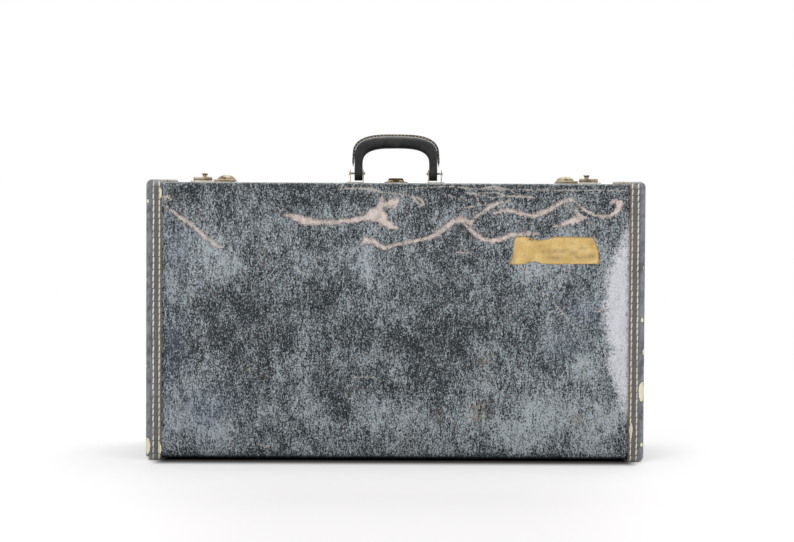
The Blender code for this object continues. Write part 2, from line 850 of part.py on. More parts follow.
def make_latch(side, lid_pivot):
    """A side latch. The thumb knob slides outboard and draws the catch spring off the hasp's lip."""
    name = SIDE_NAMES[side]
    corner = Vector((side * LATCH_X, SEAM_Y, SHELL_TOP))
    middle_back = PLATE_SETBACK + LATCH_DEPTH / 2
    plate_top = GAP + LATCH_SHEET
    half = LATCH_WIDTH / 2
    low, high = latch_span(
        side, (-half, half), (PLATE_SETBACK, PLATE_SETBACK + LATCH_DEPTH), (GAP, plate_top)
    )
    add_part(f"{name}_latch_plate", slab(low, high, 2, LATCH_CORNER), corner, NICKEL)

    mouth = half - HOUSING_MARGIN - HOUSING_WIDTH
    knob = mouth + KNOB_FROM_MOUTH
    make_latch_housing(name, side, corner, mouth, knob, middle_back, plate_top + GAP)
    make_latch_slide(name, side, corner, mouth, knob, middle_back, plate_top + 2 * GAP)
    make_side_hasp(name, side, corner, middle_back, plate_top + GAP, lid_pivot)


def make_latch_housing(name, side, corner, mouth, knob, back, floor):
    """A drawn cover over the slider: open below, with a mouth for the catch and a slot for the stem."""
    top = floor + HOUSING_HEIGHT
    end = mouth + HOUSING_WIDTH
    spans = ((mouth, end), (back - HOUSING_DEPTH / 2, back + HOUSING_DEPTH / 2), (floor, top))
    housing = add_part(
        f"{name}_latch_housing",
        pressed_box(*latch_span(side, *spans), HOUSING_CORNER, HOUSING_ROUND),
        corner,
        NICKEL,
    )
    wall = HOUSING_WALL
    room = latch_span(
        side,
        (mouth + wall, end - wall),
        (spans[1][0] + wall, spans[1][1] - wall),
        (floor - OVERRUN, top - wall),
    )
    combine(housing, slab(*room, 2, HOUSING_CORNER - wall, 2), "hollow")
    lane = SLIDER_WIDTH / 2 + 2 * GAP
    opening = latch_span(
        side,
        (mouth - OVERRUN, mouth + wall + OVERRUN),
        (back - lane, back + lane),
        (floor - OVERRUN, top - 2 * wall),
    )
    combine(housing, box(*opening), "mouth")
    swing = STEM_RADIUS + 2 * GAP
    slot = latch_span(
        side,
        (knob - swing, knob + LATCH_TRAVEL + swing),
        (back - swing, back + swing),
        (top - wall - OVERRUN, top + OVERRUN),
    )
    combine(housing, slab(*slot, 2, swing - GAP, EDGE_SEGMENTS), "stem_slot")


def make_latch_slide(name, side, corner, mouth, knob, back, floor):
    """The slider with its stem and tail tab, the catch spring on top of it, the coil spring that
    returns it, and the thumb knob."""
    at = corner + Vector((side * knob, back, 0))
    guide = pivot(f"{name}_latch_guide", at)
    nose = mouth + HOUSING_WALL + 2 * GAP - knob
    tail = SLIDER_TAIL
    top = floor + SLIDER_SHEET
    housing_top = floor - GAP + HOUSING_HEIGHT
    low, high = latch_span(
        side, (nose, tail), (-SLIDER_WIDTH / 2, SLIDER_WIDTH / 2), (floor, top)
    )
    slider = add_part(f"{name}_latch_slider", box(low, high), at, STEEL, guide)
    knob_foot = housing_top + KNOB_LIFT
    stem = rod(
        STEM_RADIUS,
        floor + SLIDER_SHEET / 2,
        knob_foot + KNOB_SOCKET - GAP,
        (0, 0),
        axis=2,
        sides=SMALL_SIDES,
    )
    join(slider, stem, "stem")
    tab_width = SPRING_RADIUS + SPRING_WIRE
    low, high = latch_span(
        side,
        (tail - SLIDER_SHEET + GAP / 3, tail - GAP / 3),
        (-tab_width, tab_width),
        (floor + SLIDER_SHEET / 2, top + SLIDER_TAB),
    )
    join(slider, box(low, high), "tail_tab")

    catch_low = top + GAP
    nib = mouth - LIP_TIP_FROM_MOUTH - CATCH_OVERLAP - knob
    low, high = latch_span(
        side,
        (nib, tail - SLIDER_SHEET - GAP),
        (-CATCH_WIDTH / 2, CATCH_WIDTH / 2),
        (catch_low, catch_low + CATCH_SHEET),
    )
    catch = add_part(f"{name}_catch_spring", box(low, high), at, STEEL, guide)
    eye = rod(
        STEM_RADIUS + GAP,
        catch_low - OVERRUN,
        catch_low + OVERRUN,
        (0, 0),
        axis=2,
        sides=SMALL_SIDES,
    )
    combine(catch, eye, "stem_eye")

    profile = [(r * KNOB_RADIUS, h * KNOB_HEIGHT) for r, h in KNOB_SHARES]
    socket = STEM_RADIUS + GAP
    profile += [(socket, 0), (socket, KNOB_SOCKET), (0, KNOB_SOCKET)]
    cap = turned(f"{name}_latch_knob", profile, at + Vector((0, 0, knob_foot)), NICKEL, guide)
    shade_round(cap)
    spring_start = tail + GAP
    spring_end = HOUSING_WIDTH - HOUSING_WALL - GAP - KNOB_FROM_MOUTH
    spring_height = floor + SPRING_RADIUS + SPRING_WIRE
    make_return_spring(name, side, at, spring_start, spring_end, spring_height)


def make_return_spring(name, side, at, start, end, height):
    """A coil spring between the slider's tail and the housing's end wall."""
    wire = SPRING_WIRE / 2
    length = end - start - SPRING_WIRE
    count = SPRING_TURNS * SPRING_STEPS
    points = []
    for n in range(count + 1):
        angle = 2 * math.pi * n / SPRING_STEPS
        out = start + wire + length * n / count
        points.append(
            Vector(
                (
                    side * out,
                    SPRING_RADIUS * math.cos(angle),
                    height + SPRING_RADIUS * math.sin(angle),
                )
            )
        )
    apart = min(
        (points[a] - points[b]).length
        for a in range(len(points))
        for b in range(a + SPRING_STEPS // 2, len(points))
    )
    print(f"{name} return spring: least gap between turns {1000 * (apart - SPRING_WIRE):.2f} mm")
    curve = bpy.data.curves.new(f"{name}_return_spring", "CURVE")
    curve.dimensions = "3D"
    curve.bevel_depth = wire
    curve.bevel_resolution = 2
    curve.use_fill_caps = True
    spline = curve.splines.new("POLY")
    spline.points.add(len(points) - 1)
    for point, co in zip(spline.points, points):
        point.co = (*co, 1)
    coil = bpy.data.objects.new(f"{name}_return_spring", curve)
    parts.objects.link(coil)
    curve.materials.append(new_material(coil.name, *STEEL))
    place(coil, at)


def make_side_hasp(name, side, corner, back, floor, lid_pivot):
    """The domed hasp of a side latch, with the lip that the catch spring holds down."""
    axis_height = floor + HASP_SHEET / 2
    middle = -(LATCH_WIDTH / 2 - GAP - SIDE_HASP_WIDTH / 2)
    at = corner + Vector((side * middle, -HASP_HINGE_SETBACK, axis_height))
    make_hasp_leaf(
        name, at, SIDE_HASP_WIDTH, SIDE_HASP_WIDTH, axis_height, LATCH_SHEET, lid_pivot, NICKEL
    )
    make_hasp_pin(name, at, SIDE_HASP_WIDTH, lid_pivot)
    turn = pivot(f"{name}_hasp_pivot", at, lid_pivot)
    reach = HASP_HINGE_SETBACK + SIDE_HASP_REACH
    hasp = add_hasp_plate(
        name, at, SIDE_HASP_WIDTH, reach, SIDE_HASP_CORNER, turn, NICKEL
    )
    dome_back = reach - DOME_MARGIN - DOME_DEPTH / 2
    dome = half_dome(
        SIDE_HASP_WIDTH / 2 - DOME_MARGIN,
        DOME_DEPTH / 2,
        DOME_HEIGHT + HASP_SHEET / 2,
        dome_back,
    )
    join(hasp, dome, "dome")
    half_sheet = HASP_SHEET / 2 - GAP / 3
    lip_middle = HASP_HINGE_SETBACK + back
    lip = latch_span(
        side,
        (SIDE_HASP_WIDTH / 2 - HASP_SHEET, SIDE_HASP_WIDTH / 2 + LIP_LENGTH),
        (lip_middle - LIP_WIDTH / 2, lip_middle + LIP_WIDTH / 2),
        (-half_sheet, half_sheet),
    )
    join(hasp, box(*lip), "lip")


def make_centre_lock(lid_pivot):
    """The centre lock: a capped hasp, and behind it a case whose key plug swings a cam over the
    hasp's rear lip. At rest the lock is open, with the cam turned aside."""
    corner = Vector((0, SEAM_Y, SHELL_TOP))
    plate_top = GAP + LOCK_SHEET
    plate = slab(
        (-LOCK_PLATE_WIDTH / 2, PLATE_SETBACK, GAP),
        (LOCK_PLATE_WIDTH / 2, PLATE_SETBACK + LOCK_PLATE_DEPTH, plate_top),
        2,
        LATCH_CORNER,
    )
    add_part("centre_lock_plate", plate, corner, NICKEL)
    floor = plate_top + GAP
    case_front = CENTRE_HASP_REACH + CENTRE_LIP_LENGTH + LOCK_CASE_CLEARANCE
    make_lock_case(corner, case_front, floor)
    make_key_plug(corner, case_front + PLUG_FROM_FRONT, floor)

    axis_height = floor + HASP_SHEET / 2
    at = corner + Vector((0, -HASP_HINGE_SETBACK, axis_height))
    make_hasp_leaf(
        "centre", at, CENTRE_HASP_WIDTH, LOCK_PLATE_WIDTH, axis_height, LOCK_SHEET, lid_pivot, NICKEL
    )
    make_hasp_pin("centre", at, CENTRE_HASP_WIDTH, lid_pivot)
    turn = pivot("centre_hasp_pivot", at, lid_pivot)
    reach = HASP_HINGE_SETBACK + CENTRE_HASP_REACH
    hasp = add_hasp_plate(
        "centre", at, CENTRE_HASP_WIDTH, reach, CENTRE_CAP_CORNER, turn, DARK_BRASS
    )
    front = HASP_KNUCKLE + GAP + CENTRE_CAP_MARGIN
    half = CENTRE_HASP_WIDTH / 2 - CENTRE_CAP_MARGIN
    cap = pressed_box(
        (-half, front, 0),
        (half, reach - CENTRE_CAP_MARGIN, HASP_SHEET / 2 + CENTRE_CAP_HEIGHT),
        CENTRE_CAP_CORNER,
        CENTRE_CAP_ROUND,
    )
    join(hasp, cap, "cap")
    half_sheet = HASP_SHEET / 2 - GAP / 3
    lip = box(
        (-CENTRE_LIP_WIDTH / 2, reach - CENTRE_CAP_ROUND, -half_sheet),
        (CENTRE_LIP_WIDTH / 2, reach + CENTRE_LIP_LENGTH, half_sheet),
    )
    join(hasp, lip, "lip")


def make_lock_case(corner, front, floor):
    """The case over the plug: open below, with a hole in its top and a slot in its front for the cam."""
    top = floor + LOCK_CASE_HEIGHT
    half = LOCK_CASE_WIDTH / 2
    back = front + LOCK_CASE_DEPTH
    wall = LOCK_CASE_WALL
    case = add_part(
        "centre_lock_case",
        pressed_box((-half, front, floor), (half, back, top), LOCK_CASE_CORNER, LOCK_CASE_ROUND),
        corner,
        NICKEL,
    )
    hollow = slab(
        (-half + wall, front + wall, floor - OVERRUN),
        (half - wall, back - wall, top - wall),
        2,
        LOCK_CASE_CORNER - wall,
        2,
    )
    combine(case, hollow, "hollow")
    plug_hole = rod(
        PLUG_RADIUS + GAP,
        top - wall - OVERRUN,
        top + OVERRUN,
        (0, front + PLUG_FROM_FRONT),
        axis=2,
    )
    combine(case, plug_hole, "plug_hole")
    cam_low = cam_floor(floor)
    slot = box(
        (-CAM_WIDTH / 2 - 2 * GAP, front - OVERRUN, cam_low - GAP),
        (CAM_REACH + GAP, front + wall + OVERRUN, cam_low + CAM_SHEET + GAP),
    )
    combine(case, slot, "cam_slot")


def cam_floor(floor):
    """The cam's underside, which clears the top of the hasp's lip."""
    return floor + HASP_SHEET + GAP


def make_key_plug(corner, back, floor):
    """The plug with its keyhole and its cam. It stands on the plate and shows through the case."""
    at = corner + Vector((0, back, 0))
    turn = pivot("key_pivot", at)
    top = floor + LOCK_CASE_HEIGHT + PLUG_PROUD
    plug = add_part(
        "centre_key_plug",
        rod(PLUG_RADIUS, floor, top, (0, 0), axis=2),
        at,
        DARK_BRASS,
        turn,
    )
    cam_low = cam_floor(floor)
    cam = box((0, -CAM_WIDTH / 2, cam_low), (CAM_REACH, CAM_WIDTH / 2, cam_low + CAM_SHEET))
    join(plug, cam, "cam")
    keyhole = rod(KEYHOLE_RADIUS, top - KEYHOLE_DEPTH, top + OVERRUN, (0, 0), axis=2, sides=SMALL_SIDES)
    combine(plug, keyhole, "keyhole")
    slot = box(
        (-KEYHOLE_SLOT / 2, -KEYHOLE_LENGTH / 2, top - KEYHOLE_DEPTH),
        (KEYHOLE_SLOT / 2, 0, top + OVERRUN),
    )
    combine(plug, slot, "key_slot")


def make_case(lid_pivot):
    make_shell("base_shell", BASE)
    make_shell("lid_shell", LID, lid_pivot)
    make_mouth_frame()
    make_lining("base_lining", BASE, SEAM_Y + FRAME_SEAT + GAP)
    make_lining("lid_lining", LID, SEAM_Y - LIP_REACH - LINING_SETBACK, lid_pivot)
    for end in (LEFT, RIGHT):
        make_binding(f"base_{SIDE_NAMES[end]}_binding", BASE, end)
        make_binding(f"lid_{SIDE_NAMES[end]}_binding", LID, end, lid_pivot)


def make_suitcase():
    lid_pivot = pivot("lid_pivot", (0, SEAM_Y, HINGE_Z))
    handle_pivot = pivot("handle_pivot", (0, HANDLE_Y, PIVOT_Z))
    make_case(lid_pivot)
    make_hinges(lid_pivot)
    make_handle(handle_pivot)
    for side in (LEFT, RIGHT):
        make_bracket(side)
        make_latch(side, lid_pivot)
    make_centre_lock(lid_pivot)


make_suitcase()
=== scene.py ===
# %% [markdown]
# This lesson dresses an old hard suitcase: board trays under a mottled covering, stitched leather
# bindings on the ends, plated latches and a leather grip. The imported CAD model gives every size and
# place, so the first step loads it. The new pieces are then made to fit its solids.

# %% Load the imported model
import json
import math
import random

import bmesh
import bpy
import numpy as np
from mathutils import Matrix, Vector, noise
from mathutils.bvhtree import BVHTree

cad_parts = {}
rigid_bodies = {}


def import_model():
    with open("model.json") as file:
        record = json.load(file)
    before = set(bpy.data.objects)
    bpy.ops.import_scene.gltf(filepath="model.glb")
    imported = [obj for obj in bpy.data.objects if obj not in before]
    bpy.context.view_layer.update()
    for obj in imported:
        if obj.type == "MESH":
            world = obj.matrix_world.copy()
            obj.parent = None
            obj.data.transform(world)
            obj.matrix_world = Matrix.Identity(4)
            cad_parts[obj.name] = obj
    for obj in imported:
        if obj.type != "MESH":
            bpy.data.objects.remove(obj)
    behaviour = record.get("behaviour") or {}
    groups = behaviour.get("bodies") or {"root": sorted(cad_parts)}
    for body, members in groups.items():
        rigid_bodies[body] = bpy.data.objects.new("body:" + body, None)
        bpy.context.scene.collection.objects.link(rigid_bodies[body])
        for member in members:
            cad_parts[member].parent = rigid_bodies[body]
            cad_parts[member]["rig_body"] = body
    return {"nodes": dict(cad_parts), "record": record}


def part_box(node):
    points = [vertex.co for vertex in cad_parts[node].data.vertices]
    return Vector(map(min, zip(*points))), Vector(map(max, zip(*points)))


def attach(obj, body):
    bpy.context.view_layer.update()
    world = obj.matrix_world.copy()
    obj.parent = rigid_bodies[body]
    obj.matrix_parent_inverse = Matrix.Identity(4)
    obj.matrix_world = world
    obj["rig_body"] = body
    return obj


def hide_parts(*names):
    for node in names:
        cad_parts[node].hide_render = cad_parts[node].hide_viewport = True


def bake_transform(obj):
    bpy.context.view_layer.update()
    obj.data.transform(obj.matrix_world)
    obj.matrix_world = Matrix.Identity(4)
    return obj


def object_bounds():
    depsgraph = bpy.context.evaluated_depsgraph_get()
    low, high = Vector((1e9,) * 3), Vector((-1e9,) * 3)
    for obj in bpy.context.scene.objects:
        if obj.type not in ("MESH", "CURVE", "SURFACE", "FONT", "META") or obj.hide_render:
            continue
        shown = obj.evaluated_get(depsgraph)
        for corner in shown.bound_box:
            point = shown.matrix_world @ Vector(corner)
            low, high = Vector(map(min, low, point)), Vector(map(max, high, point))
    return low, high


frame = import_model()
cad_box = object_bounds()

MM = 0.001
TINY = 1e-6
print("CAD box in mm:", [[round(v / MM, 1) for v in corner] for corner in cad_box])

# %% [markdown]
# The camera comes before the looks, because the wear on the case was read from a picture taken with
# it. A long lens stands level with the top of the case, a little tipped and turned. A shift moves
# the picture down without tipping the lens more. The function after it turns a pixel of that picture
# into a place on the case, so each scuff can be put where it belongs.

# %% Camera
PICTURE_WIDTH, PICTURE_HEIGHT = 794, 542
LENS_MM, SENSOR_MM = 81.9, 36.0
CAMERA_DISTANCE = 2.2
EYE_HEIGHT = 0.342
YAW, PITCH, ROLL = (math.radians(angle) for angle in (0.36, 1.65, 0.30))
AXIS_PIXEL = (396.0, 234.1)
FRONT_Y = cad_box[0].y

eye = Vector((-CAMERA_DISTANCE * math.sin(YAW), FRONT_Y - CAMERA_DISTANCE * math.cos(YAW), EYE_HEIGHT))
ahead = Vector((math.sin(YAW) * math.cos(PITCH), math.cos(YAW) * math.cos(PITCH), -math.sin(PITCH)))
level = Vector((math.cos(YAW), -math.sin(YAW), 0))
across = level * math.cos(ROLL) + level.cross(ahead) * math.sin(ROLL)
upward = across.cross(ahead)

lens = bpy.data.cameras.new("camera")
lens.sensor_width = SENSOR_MM
lens.lens = LENS_MM
lens.shift_x = (PICTURE_WIDTH / 2 - AXIS_PIXEL[0]) / PICTURE_WIDTH
lens.shift_y = (AXIS_PIXEL[1] - PICTURE_HEIGHT / 2) / PICTURE_WIDTH
camera = bpy.data.objects.new("camera", lens)
bpy.context.scene.collection.objects.link(camera)
turn = Matrix((across, upward, -ahead)).transposed()
camera.matrix_world = Matrix.Translation(eye) @ turn.to_4x4()
bpy.context.scene.camera = camera


def on_plane(pixel, plane_y):
    """The place where the ray through a pixel meets a plane that faces the front."""
    scale = LENS_MM / SENSOR_MM * PICTURE_WIDTH
    right = (pixel[0] - AXIS_PIXEL[0]) / scale
    up = (AXIS_PIXEL[1] - pixel[1]) / scale
    ray = ahead + across * right + upward * up
    return eye + ray * ((plane_y - eye.y) / ray.y)


print("Middle of the picture meets the front at", on_plane((397, 271), FRONT_Y))

# %% [markdown]
# A finish is a tree of shader nodes. Writing each node out takes many lines, so this small class lets
# a recipe be written as calls that pass sockets to each other. Every pattern reads Object
# coordinates, in metres, so it keeps its real scale on each piece.

# %% Node recipes
class Recipe:
    """The node tree of one finish. Calls return sockets, and numbers may stand in for sockets."""

    def __init__(self, name, **fixed):
        self.material = bpy.data.materials.new(name)
        self.material.use_nodes = True
        self.tree = self.material.node_tree
        self.shader = self.tree.nodes["Principled BSDF"]
        self.place = self.add("ShaderNodeTexCoord").outputs["Object"]
        for socket, value in fixed.items():
            self.shader.inputs[socket.replace("_", " ")].default_value = value

    def add(self, kind, **settings):
        node = self.tree.nodes.new(kind)
        for key, value in settings.items():
            setattr(node, key, value)
        return node

    def feed(self, socket, value):
        if isinstance(value, bpy.types.NodeSocket):
            self.tree.links.new(value, socket)
        elif isinstance(value, tuple) and socket.type == "RGBA":
            socket.default_value = (*value, 1)
        else:
            socket.default_value = value

    def stretched(self, scale, turn=(0, 0, 0)):
        node = self.add("ShaderNodeMapping")
        self.feed(node.inputs["Vector"], self.place)
        node.inputs["Scale"].default_value = scale
        node.inputs["Rotation"].default_value = [math.radians(angle) for angle in turn]
        return node.outputs["Vector"]

    def noise(self, per_metre, detail=2.0, rough=0.5, swirl=0.0, place=None):
        node = self.add("ShaderNodeTexNoise")
        self.feed(node.inputs["Vector"], place or self.place)
        settings = {"Scale": per_metre, "Detail": detail, "Roughness": rough, "Distortion": swirl}
        for key, value in settings.items():
            self.feed(node.inputs[key], value)
        return node.outputs["Fac"]

    def cells(self, per_metre, feature="F1", place=None):
        node = self.add("ShaderNodeTexVoronoi", feature=feature)
        self.feed(node.inputs["Vector"], place or self.place)
        self.feed(node.inputs["Scale"], per_metre)
        return node.outputs["Distance"]

    def maths(self, operation, first, second=0.0, third=None):
        node = self.add("ShaderNodeMath", operation=operation)
        self.feed(node.inputs[0], first)
        self.feed(node.inputs[1], second)
        if third is not None:
            self.feed(node.inputs[2], third)
        return node.outputs[0]

    def times(self, first, second):
        return self.maths("MULTIPLY", first, second)

    def plus(self, first, second):
        return self.maths("ADD", first, second)

    def times_plus(self, value, factor, rest):
        return self.maths("MULTIPLY_ADD", value, factor, rest)

    def band(self, value, start, end, low=0.0, high=1.0):
        """Runs smoothly from low to high while value goes from start to end."""
        node = self.add("ShaderNodeMapRange", interpolation_type="SMOOTHSTEP")
        for socket, given in zip(node.inputs, (value, start, end, low, high)):
            self.feed(socket, given)
        return node.outputs[0]

    def blend(self, factor, first, second):
        node = self.add("ShaderNodeMix", data_type="RGBA")
        for index, given in ((0, factor), (6, first), (7, second)):
            self.feed(node.inputs[index], given)
        return node.outputs[2]

    def coat(self, colour, mask, strength, over):
        """The colour with another over it where the mask is 1, no stronger than the strength."""
        return self.blend(self.times(mask, strength), colour, over)

    def painted(self, attribute):
        return self.add("ShaderNodeAttribute", attribute_name=attribute).outputs["Fac"]

    def bump(self, height, depth, under=None):
        node = self.add("ShaderNodeBump")
        self.feed(node.inputs["Height"], height)
        node.inputs["Distance"].default_value = depth
        if under is not None:
            self.feed(node.inputs["Normal"], under)
        return node.outputs["Normal"]

    def finish(self, **sockets):
        for socket, value in sockets.items():
            self.feed(self.shader.inputs[socket.replace("_", " ")], value)
        return self.material


def toned(colour, share):
    """A colour made darker or lighter."""
    return tuple(share * part for part in colour)



# %% [markdown]
# The set is plain: a pale floor that fades to white a short way from the case, and a white surround.
# The floor gets a little of its own light, for the camera only, so that it stays pale and still keeps
# the soft shadow. Under the case and just in front of it there is none, and a painted shadow darkens
# the floor there. A wider strip in front of the case gets less of that light, as a painted soft shadow.
# The lid's hinges are at the bottom, so the open lid swings below the floor. The floor turns clear
# above whatever is beneath it, so the lid still shows.

# %% Floor and surround
FLOOR_REACH = 9.0
FLOOR_COLOUR = (0.80, 0.785, 0.785)
FLOOR_GLOW = 0.31
DIM_IN_FRONT = 0.15
SIDE_FADE = (24 * MM, 20 * MM)
CONTACT_REACH = 34 * MM
CONTACT_SHADE = 0.88
CONTACT_SHADOW_COLOUR = (0.02, 0.015, 0.01)
MOTTLE_PER_M, MOTTLE_SHARE = 5.0, 0.985
DIM_ACROSS = (0.42, 0.10)
DIM_AHEAD = (-0.16, -0.38)
FLOOR_DROP = 0.1 * MM
WHITE_FROM, WHITE_AT = 0.75, 1.5
WINDOW_RAYS = 24
WINDOW_REACH = 0.9
WINDOW_BAND = (0.99, 0.91)
SURROUND = 0.55


def floor_finish():
    r = Recipe("pale_floor")
    out = r.tree.nodes["Material Output"]
    r.tree.nodes.remove(r.shader)
    apart = r.add("ShaderNodeSeparateXYZ")
    r.feed(apart.inputs[0], r.place)
    sideways = r.maths("ABSOLUTE", apart.outputs["X"])
    depthways = r.maths("ABSOLUTE", apart.outputs["Y"])
    fade_from = cad_box[1].x - SIDE_FADE[0]
    past_side = r.band(sideways, fade_from, fade_from + SIDE_FADE[1])
    past_front = r.band(depthways, cad_box[1].y, cad_box[1].y + CONTACT_REACH)
    off_side = r.times(past_side, past_side)
    off_front = r.times(past_front, past_front)
    clear = r.maths("MINIMUM", r.maths("SQRT", r.plus(off_side, off_front)), 1.0)
    pale = r.blend(r.noise(MOTTLE_PER_M, 3.0), FLOOR_COLOUR, toned(FLOOR_COLOUR, MOTTLE_SHARE))
    # Painted contact shadow: the floor's colour darkens to near black under the case and just in front of
    # it.
    shade = r.times(r.maths("SUBTRACT", 1.0, clear), CONTACT_SHADE)
    lit = r.add("ShaderNodeBsdfDiffuse")
    r.feed(lit.inputs["Color"], r.blend(shade, pale, CONTACT_SHADOW_COLOUR))
    seen = r.add("ShaderNodeLightPath")
    # Painted soft shadow: the camera glow is lowered across a wide strip in front of the case.
    ahead_of = r.band(apart.outputs["Y"], *DIM_AHEAD)
    front_shadow = r.times(r.band(sideways, *DIM_ACROSS), ahead_of)
    level_of_glow = r.times_plus(front_shadow, -DIM_IN_FRONT, FLOOR_GLOW)
    glow = r.add("ShaderNodeEmission")
    shown_glow = r.times(seen.outputs["Is Camera Ray"], level_of_glow)
    r.feed(glow.inputs["Strength"], r.times(shown_glow, clear))
    floor_light = r.add("ShaderNodeAddShader")
    r.tree.links.new(lit.outputs[0], floor_light.inputs[0])
    r.tree.links.new(glow.outputs[0], floor_light.inputs[1])
    white = r.add("ShaderNodeEmission")
    away = r.add("ShaderNodeVectorMath", operation="LENGTH")
    r.feed(away.inputs[0], r.place)
    far = r.band(away.outputs["Value"], WHITE_FROM, WHITE_AT)
    mix = r.add("ShaderNodeMixShader")
    r.feed(mix.inputs[0], r.times(far, seen.outputs["Is Camera Ray"]))
    r.tree.links.new(floor_light.outputs[0], mix.inputs[1])
    r.tree.links.new(white.outputs[0], mix.inputs[2])
    beneath = r.add("ShaderNodeAmbientOcclusion", inside=True, samples=WINDOW_RAYS)
    r.feed(beneath.inputs["Distance"], WINDOW_REACH)
    filled = r.band(beneath.outputs["AO"], *WINDOW_BAND)
    window = r.maths("MAXIMUM", filled, r.add("ShaderNodeNewGeometry").outputs["Backfacing"])
    opened = r.add("ShaderNodeMixShader")
    r.feed(opened.inputs[0], window)
    r.tree.links.new(mix.outputs[0], opened.inputs[1])
    r.tree.links.new(r.add("ShaderNodeBsdfTransparent").outputs[0], opened.inputs[2])
    r.tree.links.new(opened.outputs[0], out.inputs["Surface"])
    return r.material


floor_bm = bmesh.new()
bmesh.ops.create_grid(floor_bm, x_segments=2, y_segments=2, size=FLOOR_REACH)
bmesh.ops.translate(floor_bm, vec=(0, 0, -FLOOR_DROP), verts=floor_bm.verts)
floor_mesh = bpy.data.meshes.new("floor")
floor_bm.to_mesh(floor_mesh)
floor_bm.free()
floor_mesh.materials.append(floor_finish())
floor = bpy.data.objects.new("floor", floor_mesh)
bpy.context.scene.collection.objects.link(floor)

world = bpy.data.worlds.new("surround")
world.use_nodes = True
bpy.context.scene.world = world
tree = world.node_tree
seen = tree.nodes.new("ShaderNodeLightPath")
shown = tree.nodes.new("ShaderNodeMath")
shown.operation = "MAXIMUM"
tree.links.new(seen.outputs["Is Camera Ray"], shown.inputs[0])
tree.links.new(seen.outputs["Is Glossy Ray"], shown.inputs[1])
strength = tree.nodes.new("ShaderNodeMapRange")
tree.links.new(shown.outputs[0], strength.inputs["Value"])
strength.inputs["To Min"].default_value = SURROUND
strength.inputs["To Max"].default_value = 1.0
background = tree.nodes["Background"]
background.inputs["Color"].default_value = (1, 1, 1, 1)
tree.links.new(strength.outputs["Result"], background.inputs["Strength"])
bpy.context.scene.view_settings.view_transform = "Standard"
print("Floor:", len(floor_mesh.materials[0].node_tree.nodes), "nodes, with a window above what is beneath")

# %% [markdown]
# Three square area lamps stand for a window on the left, a fainter light from the right, and a pale
# ceiling behind the case. Large lamps give the soft shadows of a room, where a point or a sun would
# give hard ones. Each is aimed at the middle of the case, with its strength set so that together they
# light a surface about as brightly as its colour is written.

# %% Lamps
LAMPS = {
    "window_light": ((-1.3, -2.1, 1.9), 1.5, 22.0),
    "far_side_light": ((1.9, -1.7, 1.1), 1.3, 11.0),
    "ceiling_light": ((0.2, 0.9, 2.1), 1.8, 20.0),
}
case_middle = (cad_box[0] + cad_box[1]) / 2
for name, (at, size, watts) in LAMPS.items():
    lamp = bpy.data.lights.new(name, "AREA")
    lamp.shape = "SQUARE"
    lamp.size = size
    lamp.energy = watts
    holder = bpy.data.objects.new(name, lamp)
    bpy.context.scene.collection.objects.link(holder)
    holder.location = at
    holder.rotation_euler = (case_middle - Vector(at)).to_track_quat("-Z", "Y").to_euler()
    print(f"{name}: {watts} W, {size} m across")

# %% [markdown]
# Most pieces start as a block with some edges rounded, cut into a grid fine enough to carry wear,
# with rooms and windows carved out. These helpers do that with the mesh operators. The exact Boolean
# modifier does the carving, because it keeps the faces that it doesn't touch. Every finished shape
# becomes an object in the same way: it rides on a body, so that it moves with that body's joint, and
# hides the solid of the imported model that it stands for.

# %% Mesh helpers
NEARLY = 0.999
LONG_SHARE = 0.9
ROD_SIDES = 32


def block(low, high):
    """A box between two corners, given in any order."""
    low, high = Vector(low), Vector(high)
    bm = bmesh.new()
    bmesh.ops.create_cube(bm, size=1)
    bmesh.ops.scale(bm, vec=[abs(side) for side in high - low], verts=bm.verts)
    bmesh.ops.translate(bm, vec=(low + high) / 2, verts=bm.verts)
    return bm


def power(value, exponent):
    """A power that keeps the sign, for shapes between an ellipse and a box."""
    return math.copysign(abs(value) ** exponent, value)


def on_face(vert, axis, value):
    return abs(vert.co[axis] - value) < TINY


def runs_along(edge, axis):
    run = edge.verts[1].co - edge.verts[0].co
    return abs(run[axis]) > NEARLY * run.length


def round_edges(bm, edges, radius, segments):
    bmesh.ops.bevel(
        bm, geom=edges, offset=radius, segments=segments, profile=0.5, affect="EDGES", material=-1
    )


def rod(radius, start, end, centre):
    """A round bar along x. centre is the y and z of its axis."""
    bm = bmesh.new()
    bmesh.ops.create_cone(
        bm, cap_ends=True, segments=ROD_SIDES, radius1=radius, radius2=radius, depth=end - start
    )
    bmesh.ops.rotate(bm, matrix=Matrix.Rotation(math.radians(90), 3, "Y"), verts=bm.verts)
    bmesh.ops.translate(bm, vec=((start + end) / 2, *centre), verts=bm.verts)
    return bm


def cut_at(bm, axis, value):
    """Cut every face where the plane at a value on an axis crosses it."""
    place, normal = Vector(), Vector()
    place[axis], normal[axis] = value, 1
    geom = bm.verts[:] + bm.edges[:] + bm.faces[:]
    bmesh.ops.bisect_plane(bm, geom=geom, plane_co=place, plane_no=normal)


def slice_across(bm, axis, step):
    """Cut the long edges that run along an axis, so that their quads become a grid."""
    longest = max(e.calc_length() for e in bm.edges if runs_along(e, axis))
    edges = [e for e in bm.edges if runs_along(e, axis) and e.calc_length() > LONG_SHARE * longest]
    cuts = max(round(longest / step) - 1, 1)
    bmesh.ops.subdivide_edges(bm, edges=edges, cuts=cuts, use_grid_fill=True)


def temporary(bm):
    mesh = bpy.data.meshes.new("temporary")
    bm.to_mesh(mesh)
    bm.free()
    obj = bpy.data.objects.new("temporary", mesh)
    bpy.context.scene.collection.objects.link(obj)
    return obj


def settled(obj):
    """The shape of a temporary object with its modifiers, as a new bmesh."""
    graph = bpy.context.evaluated_depsgraph_get()
    bm = bmesh.new()
    bm.from_mesh(obj.evaluated_get(graph).data)
    bpy.data.objects.remove(obj, do_unlink=True)
    return bm


